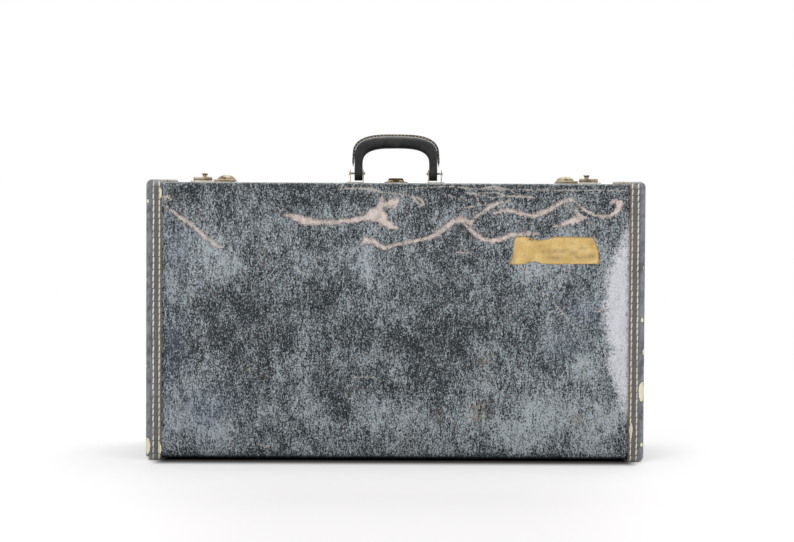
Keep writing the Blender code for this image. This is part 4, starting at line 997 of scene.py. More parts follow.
def binding_shape(tray, end):
    """A sheet rolled over the outer edges of a tray's end, with a window over the end wall."""
    low, high = BINDING_BOX[tray, end]
    seam = seam_of(tray, low, high)
    inner = low.x if end == "right" else high.x
    bm = block(low, high)
    square = [e for e in bm.edges if any(all(on_face(v, axis, at) for v in e.verts)
                                         for axis, at in ((1, seam), (0, inner)))]
    round_edges(bm, [e for e in bm.edges if e not in square], ROLL_RADIUS, ROLL_SEGMENTS)
    slice_across(bm, 2, BINDING_GRID)
    slice_across(bm, 1, BINDING_GRID)
    border = END_BORDER * INWARDS[tray]
    window = block((ENDS[end] * (CASE_HALF - 2 * HIDE), WALL[tray] + border, END_BORDER),
                   (ENDS[end] * (CASE_HALF + OVERRUN), seam + border, CASE_TOP - END_BORDER))
    round_edges(window, [e for e in window.edges if runs_along(e, 0)], WINDOW_CORNER, WINDOW_SEGMENTS)
    bm = carve(bm, window)
    deep = [f for f in bm.faces if skin(tray, f.calc_center_median())[0] < -DEEP]
    bmesh.ops.delete(bm, geom=deep, context="FACES")
    for from_end in CUTS_MM:
        cut_at(bm, 0, ENDS[end] * (CASE_HALF - from_end * MM))
    bmesh.ops.remove_doubles(bm, verts=bm.verts, dist=SLIVER)
    bmesh.ops.dissolve_degenerate(bm, dist=SLIVER, edges=bm.edges)
    bm = thickened(bm, HIDE)
    for vert in bm.verts:
        for axis in range(3):
            vert.co[axis] = min(max(vert.co[axis], low[axis]), high[axis])
        if skin(tray, vert.co)[0] < -STRAY * HIDE:
            print(f"{tray} {end}: a stray point at", [round(c / MM, 1) for c in vert.co])
    return bm


def press_binding(tray, bm):
    """Press the furrows, and let the hide undulate a little. Only points of the outer side move."""
    for vert in bm.verts:
        outside, out = skin(tray, vert.co)
        if outside > -HIDE / 2:
            from_end = (CASE_HALF - abs(vert.co.x)) / MM
            along = vert.co.z / MM if abs(out.y) > FACING else vert.co.y / MM
            sink = sewn_sink(from_end, along)
            sink += UNDULATION_MM * (0.5 + 0.5 * noise.noise(vert.co / UNDULATION_LENGTH))
            vert.co -= out * sink * MM
    return bm


print("Rows of stitches at", ROW_OFFSETS_MM, "mm from the ends")

# %% [markdown]
# Where the hide has worn through at the rolled edge, the yellow board shows. Each chip is an
# ellipsoid of damage: its place was read from the picture on the front, and is drawn by chance on the
# back. The finish reads how deep inside a chip a point is, breaks the border up with noise, and adds
# a dark rim of torn hide.

# %% Chips on the bindings
CHIP_PIXELS = {
    "left": [(146, 446, 4.2, 9.5), (159.8, 448.5, 1.7, 5.5), (147.2, 201, 1.7, 2.2), (145.6, 280, 1.2, 2.6),
             (145.5, 318, 1.2, 2.0), (145.5, 367, 1.2, 2.2), (160.6, 192, 1.1, 5), (146.5, 458, 3, 2)],
    "right": [(642.5, 392, 4.0, 10.5), (631, 430, 1.6, 8), (642, 445, 1.8, 2.4), (642.5, 320, 1.6, 2.6),
              (644.5, 352, 1.8, 4.0), (644, 268, 0.9, 2)],
}
BACK_CHIPS = 5
CHIP_DEPTH_MM = 0.7
CHIP_REACH_MM = 6.5
BACK_CHIP_MM = (1.2, 4.5)
CHIP_SEED = 21
chip_rng = random.Random(CHIP_SEED)


def front_chips(end):
    rows = []
    for x, z, wide, high in lid_marks(CHIP_PIXELS[end], FRONT_Y):
        x = max(-CASE_HALF / MM, min(CASE_HALF / MM, x))
        rows.append((Vector((x, FRONT_Y / MM, z)), Vector((wide, CHIP_REACH_MM, high))))
    return rows


def back_chips(end):
    rows = []
    for _ in range(BACK_CHIPS):
        size = chip_rng.uniform(*BACK_CHIP_MM)
        place = Vector((ENDS[end] * CASE_HALF, cad_box[1].y, chip_rng.uniform(0.02, 0.98) * CASE_TOP))
        rows.append((place / MM, Vector((size, size, size * chip_rng.uniform(1.0, 2.6)))))
    return rows


def chip_depth(points_mm, chips):
    """How deep inside the nearest chip each point is, in mm. Outside it is negative."""
    best = np.full(len(points_mm), -FAR_AWAY)
    for place, size in chips:
        share = np.linalg.norm((points_mm - np.array(place)) / np.array(size), axis=1)
        best = np.maximum(best, (1 - share) * min(size.x, size.z))
    return best


chips = {("lid", end): front_chips(end) for end in ENDS}
chips.update({("base", end): back_chips(end) for end in ENDS})
print("Chips:", {f"{tray} {end}": len(rows) for (tray, end), rows in chips.items()})

# %% [markdown]
# The hide is a slate grey coated leather. It is paler on the rolled edge where hands rubbed it,
# browner and dirtier between the rows of stitches, and raw brown on its cut edge, which turns paler
# near the top.

# %% Binding finish
HIDE_GREY = (0.105, 0.113, 0.124)
HIDE_PALE = (0.36, 0.375, 0.40)
HIDE_SOILED = (0.118, 0.112, 0.098)
HIDE_RAW = (0.20, 0.145, 0.085)
HIDE_TOP_PALE = (0.68, 0.62, 0.47)
BOARD_YELLOW = (1.0, 0.93, 0.68)
HIDE_RELIEF = 0.15 * MM


def binding_finish():
    r = Recipe("binding_leather")
    streaks = r.noise(150.0, 3.0, 0.6, 0.4, r.stretched((1, 1, 0.22)))
    cloudy = r.noise(42.0, 3.0, 0.6)
    pores = r.cells(1500.0, place=r.stretched((1, 1, 0.7)))
    colour = r.blend(r.band(streaks, 0.30, 0.72), toned(HIDE_GREY, 0.62), toned(HIDE_GREY, 1.45))
    soil = r.times(r.painted("sewn"), r.band(cloudy, 0.25, 0.6, 0.35, 0.85))
    colour = r.blend(soil, colour, HIDE_SOILED)
    rub = r.times(r.painted("edge"), r.band(r.noise(120.0, 4.0, 0.65), 0.30, 0.62))
    colour = r.coat(colour, rub, 0.75, HIDE_PALE)
    raw = r.times(r.painted("cut"), r.band(r.noise(200.0, 3.0), 0.20, 0.5, 0.55, 1.0))
    colour = r.blend(raw, colour, r.blend(r.painted("paler_on_top"), HIDE_RAW, HIDE_TOP_PALE))
    deep = r.plus(r.painted("chip"), r.times_plus(r.noise(480.0, 4.0, 0.65), 2.8, -1.4))
    rim = r.band(deep, FADE_MM - 1.1, FADE_MM - 0.1)
    bare = r.band(deep, FADE_MM - 0.15, FADE_MM + 0.2)
    colour = r.coat(colour, rim, 0.8, toned(HIDE_SOILED, 0.5))
    pulp = r.blend(r.noise(380.0, 3.0, 0.7), toned(BOARD_YELLOW, 0.80), BOARD_YELLOW)
    colour = r.blend(bare, colour, pulp)
    rough = r.maths("MAXIMUM", r.times_plus(streaks, 0.25, 0.30), r.times(bare, 0.85))
    relief = r.plus(r.times(pores, 0.5), r.times(bare, -1.6))
    relief = r.plus(relief, r.times(streaks, 0.5))
    return r.finish(Base_Color=colour, Roughness=rough, Normal=r.bump(relief, HIDE_RELIEF))


binding_leather = binding_finish()
print(binding_leather.name, "has", len(binding_leather.node_tree.nodes), "nodes")

# %% [markdown]
# Each binding is shaped, pressed and chipped, and only then made a piece. The finish needs to know
# where on the hide a point is: in a chip, between the rows, on a rolled edge, on the cut edge or near
# the top. A texture could hold that, but numbers painted on the points need no unwrapping, and they
# are worked out from the same sizes as the shape.

# %% Make the four bindings
SEWN_FROM_MM, SEWN_FADE_MM = 8.6, 1.5
RUB_FROM, RUB_MM = 1.35, 6.5
CUT_BAND_MM, CUT_FADE_MM = 0.75, 0.5
TOP_PALE_FROM, TOP_PALE_MM = 1.6, 3


def dress_binding(tray, end):
    node = f"{tray}_{end}_binding"
    bm = press_binding(tray, binding_shape(tray, end))
    places = np.array([v.co for v in bm.verts]) / MM
    depth = chip_depth(places, chips[tray, end])
    for vert, deep in zip(bm.verts, depth):
        outside, out = skin(tray, vert.co)
        if outside > -HIDE / 2 and deep > 0:
            vert.co -= out * min(deep, 1) * CHIP_DEPTH_MM * MM
    obj = add_piece(f"{node}_leather", bm, binding_leather, tray, "binding_leather", node)
    points = points_of(obj)
    paint(obj, "chip", np.clip(FADE_MM + depth, 0, None))
    from_end = (CASE_HALF - np.abs(points[:, 0])) / MM
    paint(obj, "sewn", np.clip((from_end - SEWN_FROM_MM) / SEWN_FADE_MM, 0, 1))
    from_wall = np.abs(points[:, 1] - WALL[tray]) / MM
    from_top = np.minimum(points[:, 2], CASE_TOP - points[:, 2]) / MM
    rolled = np.hypot(from_end, from_wall)
    corner = np.minimum(np.hypot(from_wall, from_top), np.hypot(from_end, from_top))
    paint(obj, "edge", np.clip(RUB_FROM - np.minimum(rolled, corner) / RUB_MM, 0, 1))
    paint(obj, "cut", np.clip((from_end - (BINDING_WIDTH_MM - CUT_BAND_MM)) / CUT_FADE_MM, 0, 1))
    # The cut edge turns paler near the top of the case.
    paint(obj, "paler_on_top", np.clip((points[:, 2] - CASE_TOP) / MM / TOP_PALE_MM + TOP_PALE_FROM, 0, 1))


for tray in TRAYS:
    for end in ENDS:
        dress_binding(tray, end)

# %% [markdown]
# Each stitch is a flattened, blunt ellipsoid of a few dozen faces, laid along the furrow. The row runs
# from the seam over the top, down the face and back under the case, so its path is worked out from a
# distance along it: three straight runs with a quarter turn between them. Where a stitch would stand
# out of the rolled edge, its points are pressed back to the skin of the hide.

# %% Rows of stitches
THREAD_HALF_WIDTH = 1.08 * MM
THREAD_HALF_HEIGHT = 0.50 * MM
STITCH_GAP = 0.35 * MM
THREAD_SINK = 0.54 * MM
LOST_STITCHES = 0.003
BLUNT_END = 0.5
THREAD_CLEAR = 0.02 * MM
STITCH_SLANTS = (2, 9)
STITCH_SWAY = 0.25 * MM
THREAD_RELIEF = 0.2 * MM
THREAD_NEW = ((0.66, 0.63, 0.56), (0.95, 0.94, 0.88))
THREAD_OLD = ((0.58, 0.52, 0.38), (0.92, 0.87, 0.71))
THREAD_GRIME = (0.26, 0.20, 0.12)
STITCH_SEED = 5
stitch_rng = random.Random(STITCH_SEED)


def row_length(depth):
    return 2 * (depth - ROLL_RADIUS) + math.pi * (ROLL_RADIUS - THREAD_SINK) + CASE_TOP - 2 * ROLL_RADIUS


def row_place(tray, depth, run):
    """The place, direction and outward side of a row at a distance from its upper end."""
    radius = ROLL_RADIUS - THREAD_SINK
    flat, quarter, face = depth - ROLL_RADIUS, math.pi / 2 * radius, CASE_TOP - 2 * ROLL_RADIUS
    if run < flat:
        inside, height, angle = depth - run, CASE_TOP - THREAD_SINK, math.pi / 2
    elif run < flat + quarter:
        angle = math.pi / 2 + (run - flat) / radius
        inside = ROLL_RADIUS + radius * math.cos(angle)
        height = CASE_TOP - ROLL_RADIUS + radius * math.sin(angle)
    elif run < flat + quarter + face:
        inside, height, angle = THREAD_SINK, CASE_TOP - ROLL_RADIUS - (run - flat - quarter), math.pi
    elif run < flat + 2 * quarter + face:
        angle = math.pi + (run - flat - quarter - face) / radius
        inside = ROLL_RADIUS + radius * math.cos(angle)
        height = ROLL_RADIUS + radius * math.sin(angle)
    else:
        inside, height = ROLL_RADIUS + (run - flat - 2 * quarter - face), THREAD_SINK
        angle = 1.5 * math.pi
    place = Vector((0, WALL[tray] + INWARDS[tray] * inside, height))
    out = Vector((0, INWARDS[tray] * math.cos(angle), math.sin(angle)))
    along = Vector((0, -INWARDS[tray] * math.sin(angle), math.cos(angle)))
    return place, along, out


def fitted(place, axes, half_sizes):
    """The matrix that gives a unit ball its half sizes along three directions, at a place."""
    return Matrix.Translation(place) @ Matrix(axes).transposed().to_4x4() @ Matrix.Diagonal((*half_sizes, 1))


def add_stitch(bm, tray, place, along, out, half_length):
    """One stitch, its long side along the row. A little slant keeps the row lively."""
    slant = math.radians(stitch_rng.uniform(*STITCH_SLANTS))
    lean = along * math.cos(slant) + along.cross(out) * math.sin(slant)
    made = bmesh.ops.create_uvsphere(bm, u_segments=8, v_segments=6, radius=1)["verts"]
    for vert in made:
        vert.co.y = power(vert.co.y, BLUNT_END)
    half_sizes = (THREAD_HALF_WIDTH, half_length, THREAD_HALF_HEIGHT)
    bmesh.ops.transform(bm, matrix=fitted(place, (lean.cross(out), lean, out), half_sizes), verts=made)
    for vert in made:
        outside, away = skin(tray, vert.co)
        if outside > -THREAD_CLEAR:
            vert.co -= away * (outside + THREAD_CLEAR)


def thread_finish():
    r = Recipe("waxed_thread")
    plies = r.noise(900.0, 2.0, 0.6, 0.0, r.stretched((1.0, 1.0, 0.5), (0, 35, 0)))
    colour = r.blend(r.painted("aged"), r.blend(plies, *THREAD_NEW), r.blend(plies, *THREAD_OLD))
    colour = r.coat(colour, r.band(r.noise(70.0, 3.0), 0.45, 0.75), 0.6, THREAD_GRIME)
    return r.finish(Base_Color=colour, Roughness=0.85, Normal=r.bump(plies, THREAD_RELIEF))


waxed_thread = thread_finish()


def sew(tray, end):
    low, high = BINDING_BOX[tray, end]
    depth = high.y - low.y
    length = row_length(depth)
    count = round(length / STITCH_PITCH)
    pitch = length / count
    bm = bmesh.new()
    for row in ROW_OFFSETS_MM:
        shift = Vector((ENDS[end] * (CASE_HALF - row * MM), 0, 0))
        for n in range(count):
            if stitch_rng.random() < LOST_STITCHES:
                continue
            place, along, out = row_place(tray, depth, (n + 0.5) * pitch)
            sway = Vector((stitch_rng.uniform(-STITCH_SWAY, STITCH_SWAY), 0, 0))
            add_stitch(bm, tray, place + shift + sway, along, out, (pitch - STITCH_GAP) / 2)
    obj = add_piece(f"{tray}_{end}_stitches", bm, waxed_thread, tray, "binding_leather", smooth_to=80)
    from_end = (CASE_HALF - np.abs(points_of(obj)[:, 0])) / MM
    paint(obj, "aged", (from_end > sum(ROW_OFFSETS_MM) / 2).astype(float))
    return count


for tray in TRAYS:
    for end in ENDS:
        print(f"{tray} {end}: {sew(tray, end)} stitches in each row")

# %% [markdown]
# Inside, both trays are lined with pasted paper, and a basswood frame stiffens the base's mouth. The
# paper is an open tray of one sheet. Its finish has laid lines, fibres and age stains. The wood's
# rings run along each side of the frame, and turn with it at the posts.

# %% Lining and frame finishes
PAPER_TAN = (0.50, 0.42, 0.29)
PAPER_STAIN = (0.30, 0.21, 0.11)
WOOD_LIGHT, WOOD_DARK = (0.60, 0.44, 0.26), (0.40, 0.26, 0.13)
LINES_PER_M, LINE_WAVER = 110.0, 0.6
PAPER_LINE, PAPER_FIBRE = (0.62, 0.56, 0.44), (0.34, 0.27, 0.17)
WOOD_DIRT = (0.22, 0.15, 0.08)
POST_EDGE, POST_BLUR = 14.0 * MM, 0.2 * MM
SHEET_RELIEF = 0.12 * MM


def lining_finish():
    r = Recipe("lining_paper")
    lines = r.add("ShaderNodeTexWave", wave_type="BANDS", bands_direction="X")
    r.feed(lines.inputs["Vector"], r.place)
    r.feed(lines.inputs["Scale"], LINES_PER_M)
    r.feed(lines.inputs["Distortion"], LINE_WAVER)
    fibres = r.noise(520.0, 4.0, 0.7)
    colour = r.coat(PAPER_TAN, lines.outputs["Fac"], 0.22, PAPER_LINE)
    colour = r.coat(colour, fibres, 0.30, PAPER_FIBRE)
    colour = r.coat(colour, r.band(r.noise(17.0, 4.0, 0.65, 0.6), 0.52, 0.72), 0.55, PAPER_STAIN)
    colour = r.coat(colour, r.band(r.cells(70.0), 0.16, 0.05), 0.35, PAPER_STAIN)
    relief = r.plus(fibres, r.times(lines.outputs["Fac"], 0.35))
    return r.finish(Base_Color=colour, Roughness=r.times_plus(fibres, 0.2, 0.72),
                    Normal=r.bump(relief, SHEET_RELIEF))


def wood_finish():
    r = Recipe("basswood")
    rings = r.noise(16.0, 4.0, 0.6, 1.6, r.stretched((0.5, 12, 12)))
    posts = r.noise(16.0, 4.0, 0.6, 1.6, r.stretched((12, 12, 0.5)))
    apart = r.add("ShaderNodeSeparateXYZ")
    r.feed(apart.inputs[0], r.place)
    post_x = CASE_HALF - POST_EDGE
    at_end = r.band(r.maths("ABSOLUTE", apart.outputs["X"]), post_x - POST_BLUR, post_x + POST_BLUR)
    grain = r.plus(r.times(rings, r.maths("SUBTRACT", 1.0, at_end)), r.times(posts, at_end))
    colour = r.blend(r.band(grain, 0.34, 0.62), WOOD_DARK, WOOD_LIGHT)
    colour = r.coat(colour, r.band(r.noise(38.0, 3.0), 0.5, 0.75), 0.35, WOOD_DIRT)
    return r.finish(Base_Color=colour, Roughness=r.times_plus(grain, 0.25, 0.5),
                    Normal=r.bump(grain, SHEET_RELIEF))


lining_paper, basswood = lining_finish(), wood_finish()
print("Finishes of the inside:", lining_paper.name, "and", basswood.name)

# %% [markdown]
# The lining is a block without its side at the seam, given a wall of paper. The frame is a block with
# its whole middle carved through, and its sharp edges planed off a little. Both take their sizes and
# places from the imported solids.

# %% Lining and frame pieces
PAPER_SHEET = 1.0 * MM
PAPER_GRID = 12 * MM
FRAME_SHEET = 4.0 * MM
FRAME_BEVEL = 0.6 * MM


def line_tray(tray):
    low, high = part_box(f"{tray}_lining")
    mouth = seam_of(tray, low, high)
    bm = block(low, high)
    for axis in range(3):
        slice_across(bm, axis, PAPER_GRID)
    open_side = [f for f in bm.faces if all(on_face(v, 1, mouth) for v in f.verts)]
    bmesh.ops.delete(bm, geom=open_side, context="FACES")
    bm = thickened(bm, PAPER_SHEET)
    add_piece(f"{tray}_lining_paper", bm, lining_paper, tray, "lining_paper", f"{tray}_lining")


def make_frame():
    low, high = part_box("mouth_frame")
    inset = Vector((FRAME_SHEET, -OVERRUN, FRAME_SHEET))
    bm = carve(block(low, high), block(low + inset, high - inset))
    round_edges(bm, [e for e in bm.edges if e.calc_face_angle(0) > 1], FRAME_BEVEL, 3)
    add_piece("mouth_frame_wood", bm, basswood, "base", "frame_wood", "mouth_frame")


for tray in TRAYS:
    line_tray(tray)
make_frame()

# %% [markdown]
# The grip is a padded leather handle: flat, square legs that swell into a round crown. It is a tube
# whose width, thickness and corner change along the way, so a grid is wrapped round it. Each column
# of the grid goes round the section, and each row sits at one place along the handle, from the
# half-round foot of one leg over the crown to the other foot. The pins' bores are carved through
# the legs afterwards.

# %% Handle sizes
GRIP_BAND = 10.4 * MM
OUTER_BEND_START = 17.9 * MM
INNER_BEND_START = 9.9 * MM
CROWN_THICKNESS = 15.1 * MM
OUTER_ROUND, INNER_ROUND = 3.2, 3.0
LEG_SQUARENESS, CROWN_SQUARENESS = 4.5, 2.5
PIN_RADIUS = 1.3 * MM
PIN_SLACK = 0.3 * MM
grip_low, grip_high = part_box("handle_grip")
pin_low, pin_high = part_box("left_handle_pin")
PIVOT = Vector((0, (pin_low.y + pin_high.y) / 2, (pin_low.z + pin_high.z) / 2))
GRIP_HALF = grip_high.x
GRIP_TOP = grip_high.z - PIVOT.z
LEG_HALF = (grip_high.y - grip_low.y) / 2
FOOT_SHARE, LEG_SHARE = 0.10, 0.08
PADDING, PADDING_LENGTH = 0.22 * MM, 7 * MM
PADDED_ABOVE = 0.12


def bend(angle, half_width, start, top, roundness):
    """A point of the handle's outline in its own plane, above the pivots."""
    x = half_width * power(math.cos(angle), 2 / roundness)
    return Vector((x, 0, start + (top - start) * power(math.sin(angle), 2 / roundness)))


def grip_row(share):
    """Inner point, outer point, half thickness and squareness of the section at a share of the way."""
    side = -1 if share < 0.5 else 1
    way = min(share, 1 - share)
    outer = Vector((side * GRIP_HALF, 0, 0))
    inner = Vector((side * (GRIP_HALF - GRIP_BAND), 0, 0))
    if way < FOOT_SHARE:
        angle = math.pi / 2 * (1 - way / FOOT_SHARE)
        down = Vector((0, 0, -LEG_HALF * math.sin(angle)))
        return inner + down, outer + down, LEG_HALF * math.cos(angle), LEG_SQUARENESS
    if way < FOOT_SHARE + LEG_SHARE:
        rise = (way - FOOT_SHARE) / LEG_SHARE
        return (inner + Vector((0, 0, INNER_BEND_START * rise)),
                outer + Vector((0, 0, OUTER_BEND_START * rise)), LEG_HALF, LEG_SQUARENESS)
    ends = FOOT_SHARE + LEG_SHARE
    angle = math.pi * (1 - (share - ends) / (1 - 2 * ends))
    outer = bend(angle, GRIP_HALF, OUTER_BEND_START, GRIP_TOP, OUTER_ROUND)
    inner = bend(angle, GRIP_HALF - GRIP_BAND, INNER_BEND_START, GRIP_TOP - CROWN_THICKNESS, INNER_ROUND)
    turn = math.sin(angle)
    return inner, outer, LEG_HALF, LEG_SQUARENESS + (CROWN_SQUARENESS - LEG_SQUARENESS) * turn


def wrapped_grid(around, along, place):
    """A tube made of a grid. place gives a point for a share of the way round and along."""
    bm = bmesh.new()
    bmesh.ops.create_grid(bm, x_segments=around, y_segments=along, size=0.5)
    for vert in bm.verts:
        vert.co = place(vert.co.x + 0.5, vert.co.y + 0.5)
    bmesh.ops.remove_doubles(bm, verts=bm.verts, dist=TINY)
    bmesh.ops.recalc_face_normals(bm, faces=bm.faces)
    return bm


def grip_point(around, along):
    inner, outer, half, squareness = grip_row(along)
    angle = 2 * math.pi * around
    middle = (inner + outer) / 2
    point = middle + (outer - middle) * power(math.cos(angle), 2 / squareness)
    point.y += half * power(math.sin(angle), 2 / squareness)
    dent = PADDING * (0.5 + 0.5 * noise.noise(point / PADDING_LENGTH))
    if along * (1 - along) > PADDED_ABOVE:
        point += (middle - point).normalized() * dent
    return PIVOT + point


print(f"Handle: {2 * GRIP_HALF / MM:.0f} mm wide, {GRIP_TOP / MM:.1f} mm above its pins")

# %% [markdown]
# The grip's leather is nearly black and grained, and hands have worn its crown to a warm tan. Cells
# whose borders are read as distances make the creases, and the same creases darken the cracks. A
# painted number on the crown keeps the wear away from the legs.

# %% Grip leather
GRIP_DARK = (0.0055, 0.0057, 0.006)
GRIP_LIGHT = (0.027, 0.027, 0.026)
GRIP_TAN = (0.17, 0.115, 0.065)
GRIP_CRACK = (0.012, 0.011, 0.010)
GRIP_RELIEF = 0.14 * MM


def grip_finish():
    r = Recipe("grip_leather", IOR=1.42)
    creases = r.cells(420.0, "DISTANCE_TO_EDGE", r.stretched((1, 1, 1.4)))
    fine = r.noise(900.0, 3.0, 0.6)
    worn = r.noise(75.0, 4.0, 0.62, 0.5)
    colour = r.blend(r.band(worn, 0.34, 0.68), GRIP_DARK, GRIP_LIGHT)
    tan = r.times(r.painted("crown"), r.band(r.noise(130.0, 4.0, 0.7), 0.36, 0.66))
    colour = r.coat(colour, tan, 0.8, GRIP_TAN)
    colour = r.coat(colour, r.band(creases, 0.10, 0.0), 0.55, GRIP_CRACK)
    rough = r.times_plus(worn, 0.24, 0.36)
    relief = r.plus(r.band(creases, 0.0, 0.14), r.times(fine, 0.4))
    return r.finish(Base_Color=colour, Roughness=rough, Normal=r.bump(relief, GRIP_RELIEF))


grip_leather = grip_finish()
print(grip_leather.name, "has", len(grip_leather.node_tree.nodes), "nodes")

# %% [markdown]
# The grid is wrapped round the handle's sections here. The bores for the pins are carved after that,
# because a grid that had to flow round a hole would be far harder to lay out.

# %% Grip
GRIP_GRID = (64, 150)
CROWN_FROM_SHARE, CROWN_FADE = 0.86, 7
CROWN_WIDTH = 1.5


def make_grip():
    bm = wrapped_grid(*GRIP_GRID, grip_point)
    for pin in ("left_handle_pin", "right_handle_pin"):
        low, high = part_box(pin)
        bore = rod(PIN_RADIUS + PIN_SLACK, low.x - OVERRUN, high.x + OVERRUN, (PIVOT.y, PIVOT.z))
        bm = carve(bm, bore)
    obj = add_piece("grip", bm, grip_leather, "handle", "grip_leather", "handle_grip")
    points = points_of(obj)
    height = (points[:, 2] - PIVOT.z) / GRIP_TOP
    middle = 1 - np.abs(points[:, 1] - PIVOT.y) / LEG_HALF
    high_up = np.clip((height - CROWN_FROM_SHARE) * CROWN_FADE, 0, 1)
    paint(obj, "crown", high_up * np.clip(middle * CROWN_WIDTH, 0, 1))


make_grip()

# %% [markdown]
# The two halves of the grip's cover meet in a seam that stands up round the outside as a fin. It
# follows the same outline, a little further out, and thins to nothing at both ends. Small stitches
# run through it and show on both flat sides.

# %% Seam fin
FIN_HALF_DEPTH = 1.35 * MM
FIN_HALF_THICKNESS = 1.5 * MM
FIN_GAP = 0.3 * MM
FIN_TIP_SHARE = 0.02
FIN_STITCH_PITCH = 4.3 * MM
FIN_THREAD = (0.38 * MM, 1.55 * MM, 0.30 * MM)
FIN_THREAD_SINK, FIN_THREAD_INWARDS = 0.12 * MM, 0.2 * MM
FIN_GRID = (20, 160)
FIN_SAMPLES = 400
FIN_STEP_SHARE = 0.002
FIN_DROP_FADE = 12
FIN_CROWN_FROM_SHARE, FIN_CROWN_FADE = 0.9, 8
fin_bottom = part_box("handle_seam_fin")[0].z - PIVOT.z


def fin_spine(share):
    """A place along the fin's middle, and the outward direction there."""
    def on_outline(at):
        angle = math.pi * (1 - min(max(at, 0), 1))
        point = bend(angle, GRIP_HALF, OUTER_BEND_START, GRIP_TOP, OUTER_ROUND)
        drop = (fin_bottom - OUTER_BEND_START) * max(1 - FIN_DROP_FADE * min(at, 1 - at), 0)
        return point + Vector((0, 0, drop))

    run = on_outline(share + FIN_STEP_SHARE) - on_outline(share - FIN_STEP_SHARE)
    out = Vector((-run.z, 0, run.x)).normalized()
    return on_outline(share) + out * (FIN_GAP + FIN_HALF_DEPTH), out


def fin_point(around, along):
    spine, out = fin_spine(along)
    angle = 2 * math.pi * around
    tip = min(min(along, 1 - along) / FIN_TIP_SHARE, 1)
    size = math.sin(math.pi / 2 * tip)
    offset = out * (FIN_HALF_DEPTH * power(math.cos(angle), 0.5) * size)
    offset.y = FIN_HALF_THICKNESS * power(math.sin(angle), 0.5) * size
    return PIVOT + spine + offset


def stitch_fin():
    shares = np.linspace(0, 1, FIN_SAMPLES + 1)
    places = [fin_spine(n / FIN_SAMPLES)[0] for n in range(FIN_SAMPLES + 1)]
    runs = [0.0]
    for start, end in zip(places, places[1:]):
        runs.append(runs[-1] + (end - start).length)
    count = int(runs[-1] / FIN_STITCH_PITCH) - 2
    bm = bmesh.new()
    for n in range(1, count + 1):
        spine, out = fin_spine(float(np.interp(n / (count + 1) * runs[-1], runs, shares)))
        along = Vector((-out.z, 0, out.x))
        for side in (-1, 1):
            lift = Vector((0, side * (FIN_HALF_THICKNESS - FIN_THREAD_SINK), 0))
            matrix = fitted(PIVOT + spine - out * FIN_THREAD_INWARDS + lift,
                            (out, along, out.cross(along)), FIN_THREAD)
            bmesh.ops.create_uvsphere(bm, u_segments=8, v_segments=5, radius=1, matrix=matrix)
    bmesh.ops.recalc_face_normals(bm, faces=bm.faces)
    return bm


fin = add_piece("seam_fin", wrapped_grid(*FIN_GRID, fin_point), grip_leather, "handle", "grip_leather",
                "handle_seam_fin")
fin_height = (points_of(fin)[:, 2] - PIVOT.z) / GRIP_TOP
paint(fin, "crown", np.clip((fin_height - FIN_CROWN_FROM_SHARE) * FIN_CROWN_FADE, 0, 1))
fin_stitches = add_piece("seam_stitches", stitch_fin(), waxed_thread, "handle", "grip_leather",
                         smooth_to=80)
paint(fin_stitches, "aged", np.ones(len(fin_stitches.data.vertices)))

# %% [markdown]
# The fittings are pressed sheet metal. The imported nodes already have the right shapes, but their
# edges are sharp, and no pressing has sharp edges. So each is copied, its triangles are merged back
# into whole faces, and its edges get a small bevel that catches the light. The two return springs are
# then taken off their bodies and kept where they stand.

# %% Metal pieces from the imported nodes
BODY = {node: body for body, nodes in frame["record"]["behaviour"]["bodies"].items() for node in nodes}
SLOT = {part["node"]: part["material_slot"] for part in frame["record"]["subparts"]}
WELD = 2e-6
MERGE_BELOW, SHARP_FROM = math.radians(0.5), math.radians(40)
FITTING_BEVEL = 0.14 * MM


def merged_copy(node):
    """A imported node's shape with its triangles merged back into whole faces."""
    bm = bmesh.new()
    bm.from_mesh(frame["nodes"][node].data)
    bmesh.ops.remove_doubles(bm, verts=bm.verts, dist=WELD)
    bmesh.ops.dissolve_limit(bm, angle_limit=MERGE_BELOW, verts=bm.verts, edges=bm.edges)
    return bm


def dress_fitting(node, finish):
    """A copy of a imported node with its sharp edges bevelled."""
    bm = merged_copy(node)
    sharp = [e for e in bm.edges if e.is_manifold and e.calc_face_angle(0) > SHARP_FROM]
    bmesh.ops.bevel(bm, geom=sharp, offset=FITTING_BEVEL, segments=2, profile=0.5, affect="EDGES",
                    material=-1, clamp_overlap=True)
    add_piece(f"{node}_worn", bm, finish, BODY[node], SLOT[node], node, smooth_to=50)


def let_it_shorten(side):
    """Take the return spring off its body, and fix it where it stands."""
    spring = bpy.data.objects[f"{side}_return_spring_worn"]
    spring.parent = None
    del spring["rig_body"]
    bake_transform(spring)


# %% [markdown]
# Six metals are on the case. The latches are brass with worn nickel plating, so the warm brass shows
# through where the plating went. Their base plates get a brighter copy of that plating, a painted
# highlight for the light that catches their thin edges. The handle's stirrups are copper plated and
# dull. The lock's cap is a very dark brass, the springs and sliders are plain oily steel, and the
# hinges are a warmer steel. One recipe makes all six: the metal beneath, the plating, fine scratches
# and grime.

# %% Metal finishes
METAL_RELIEF = 0.03 * MM


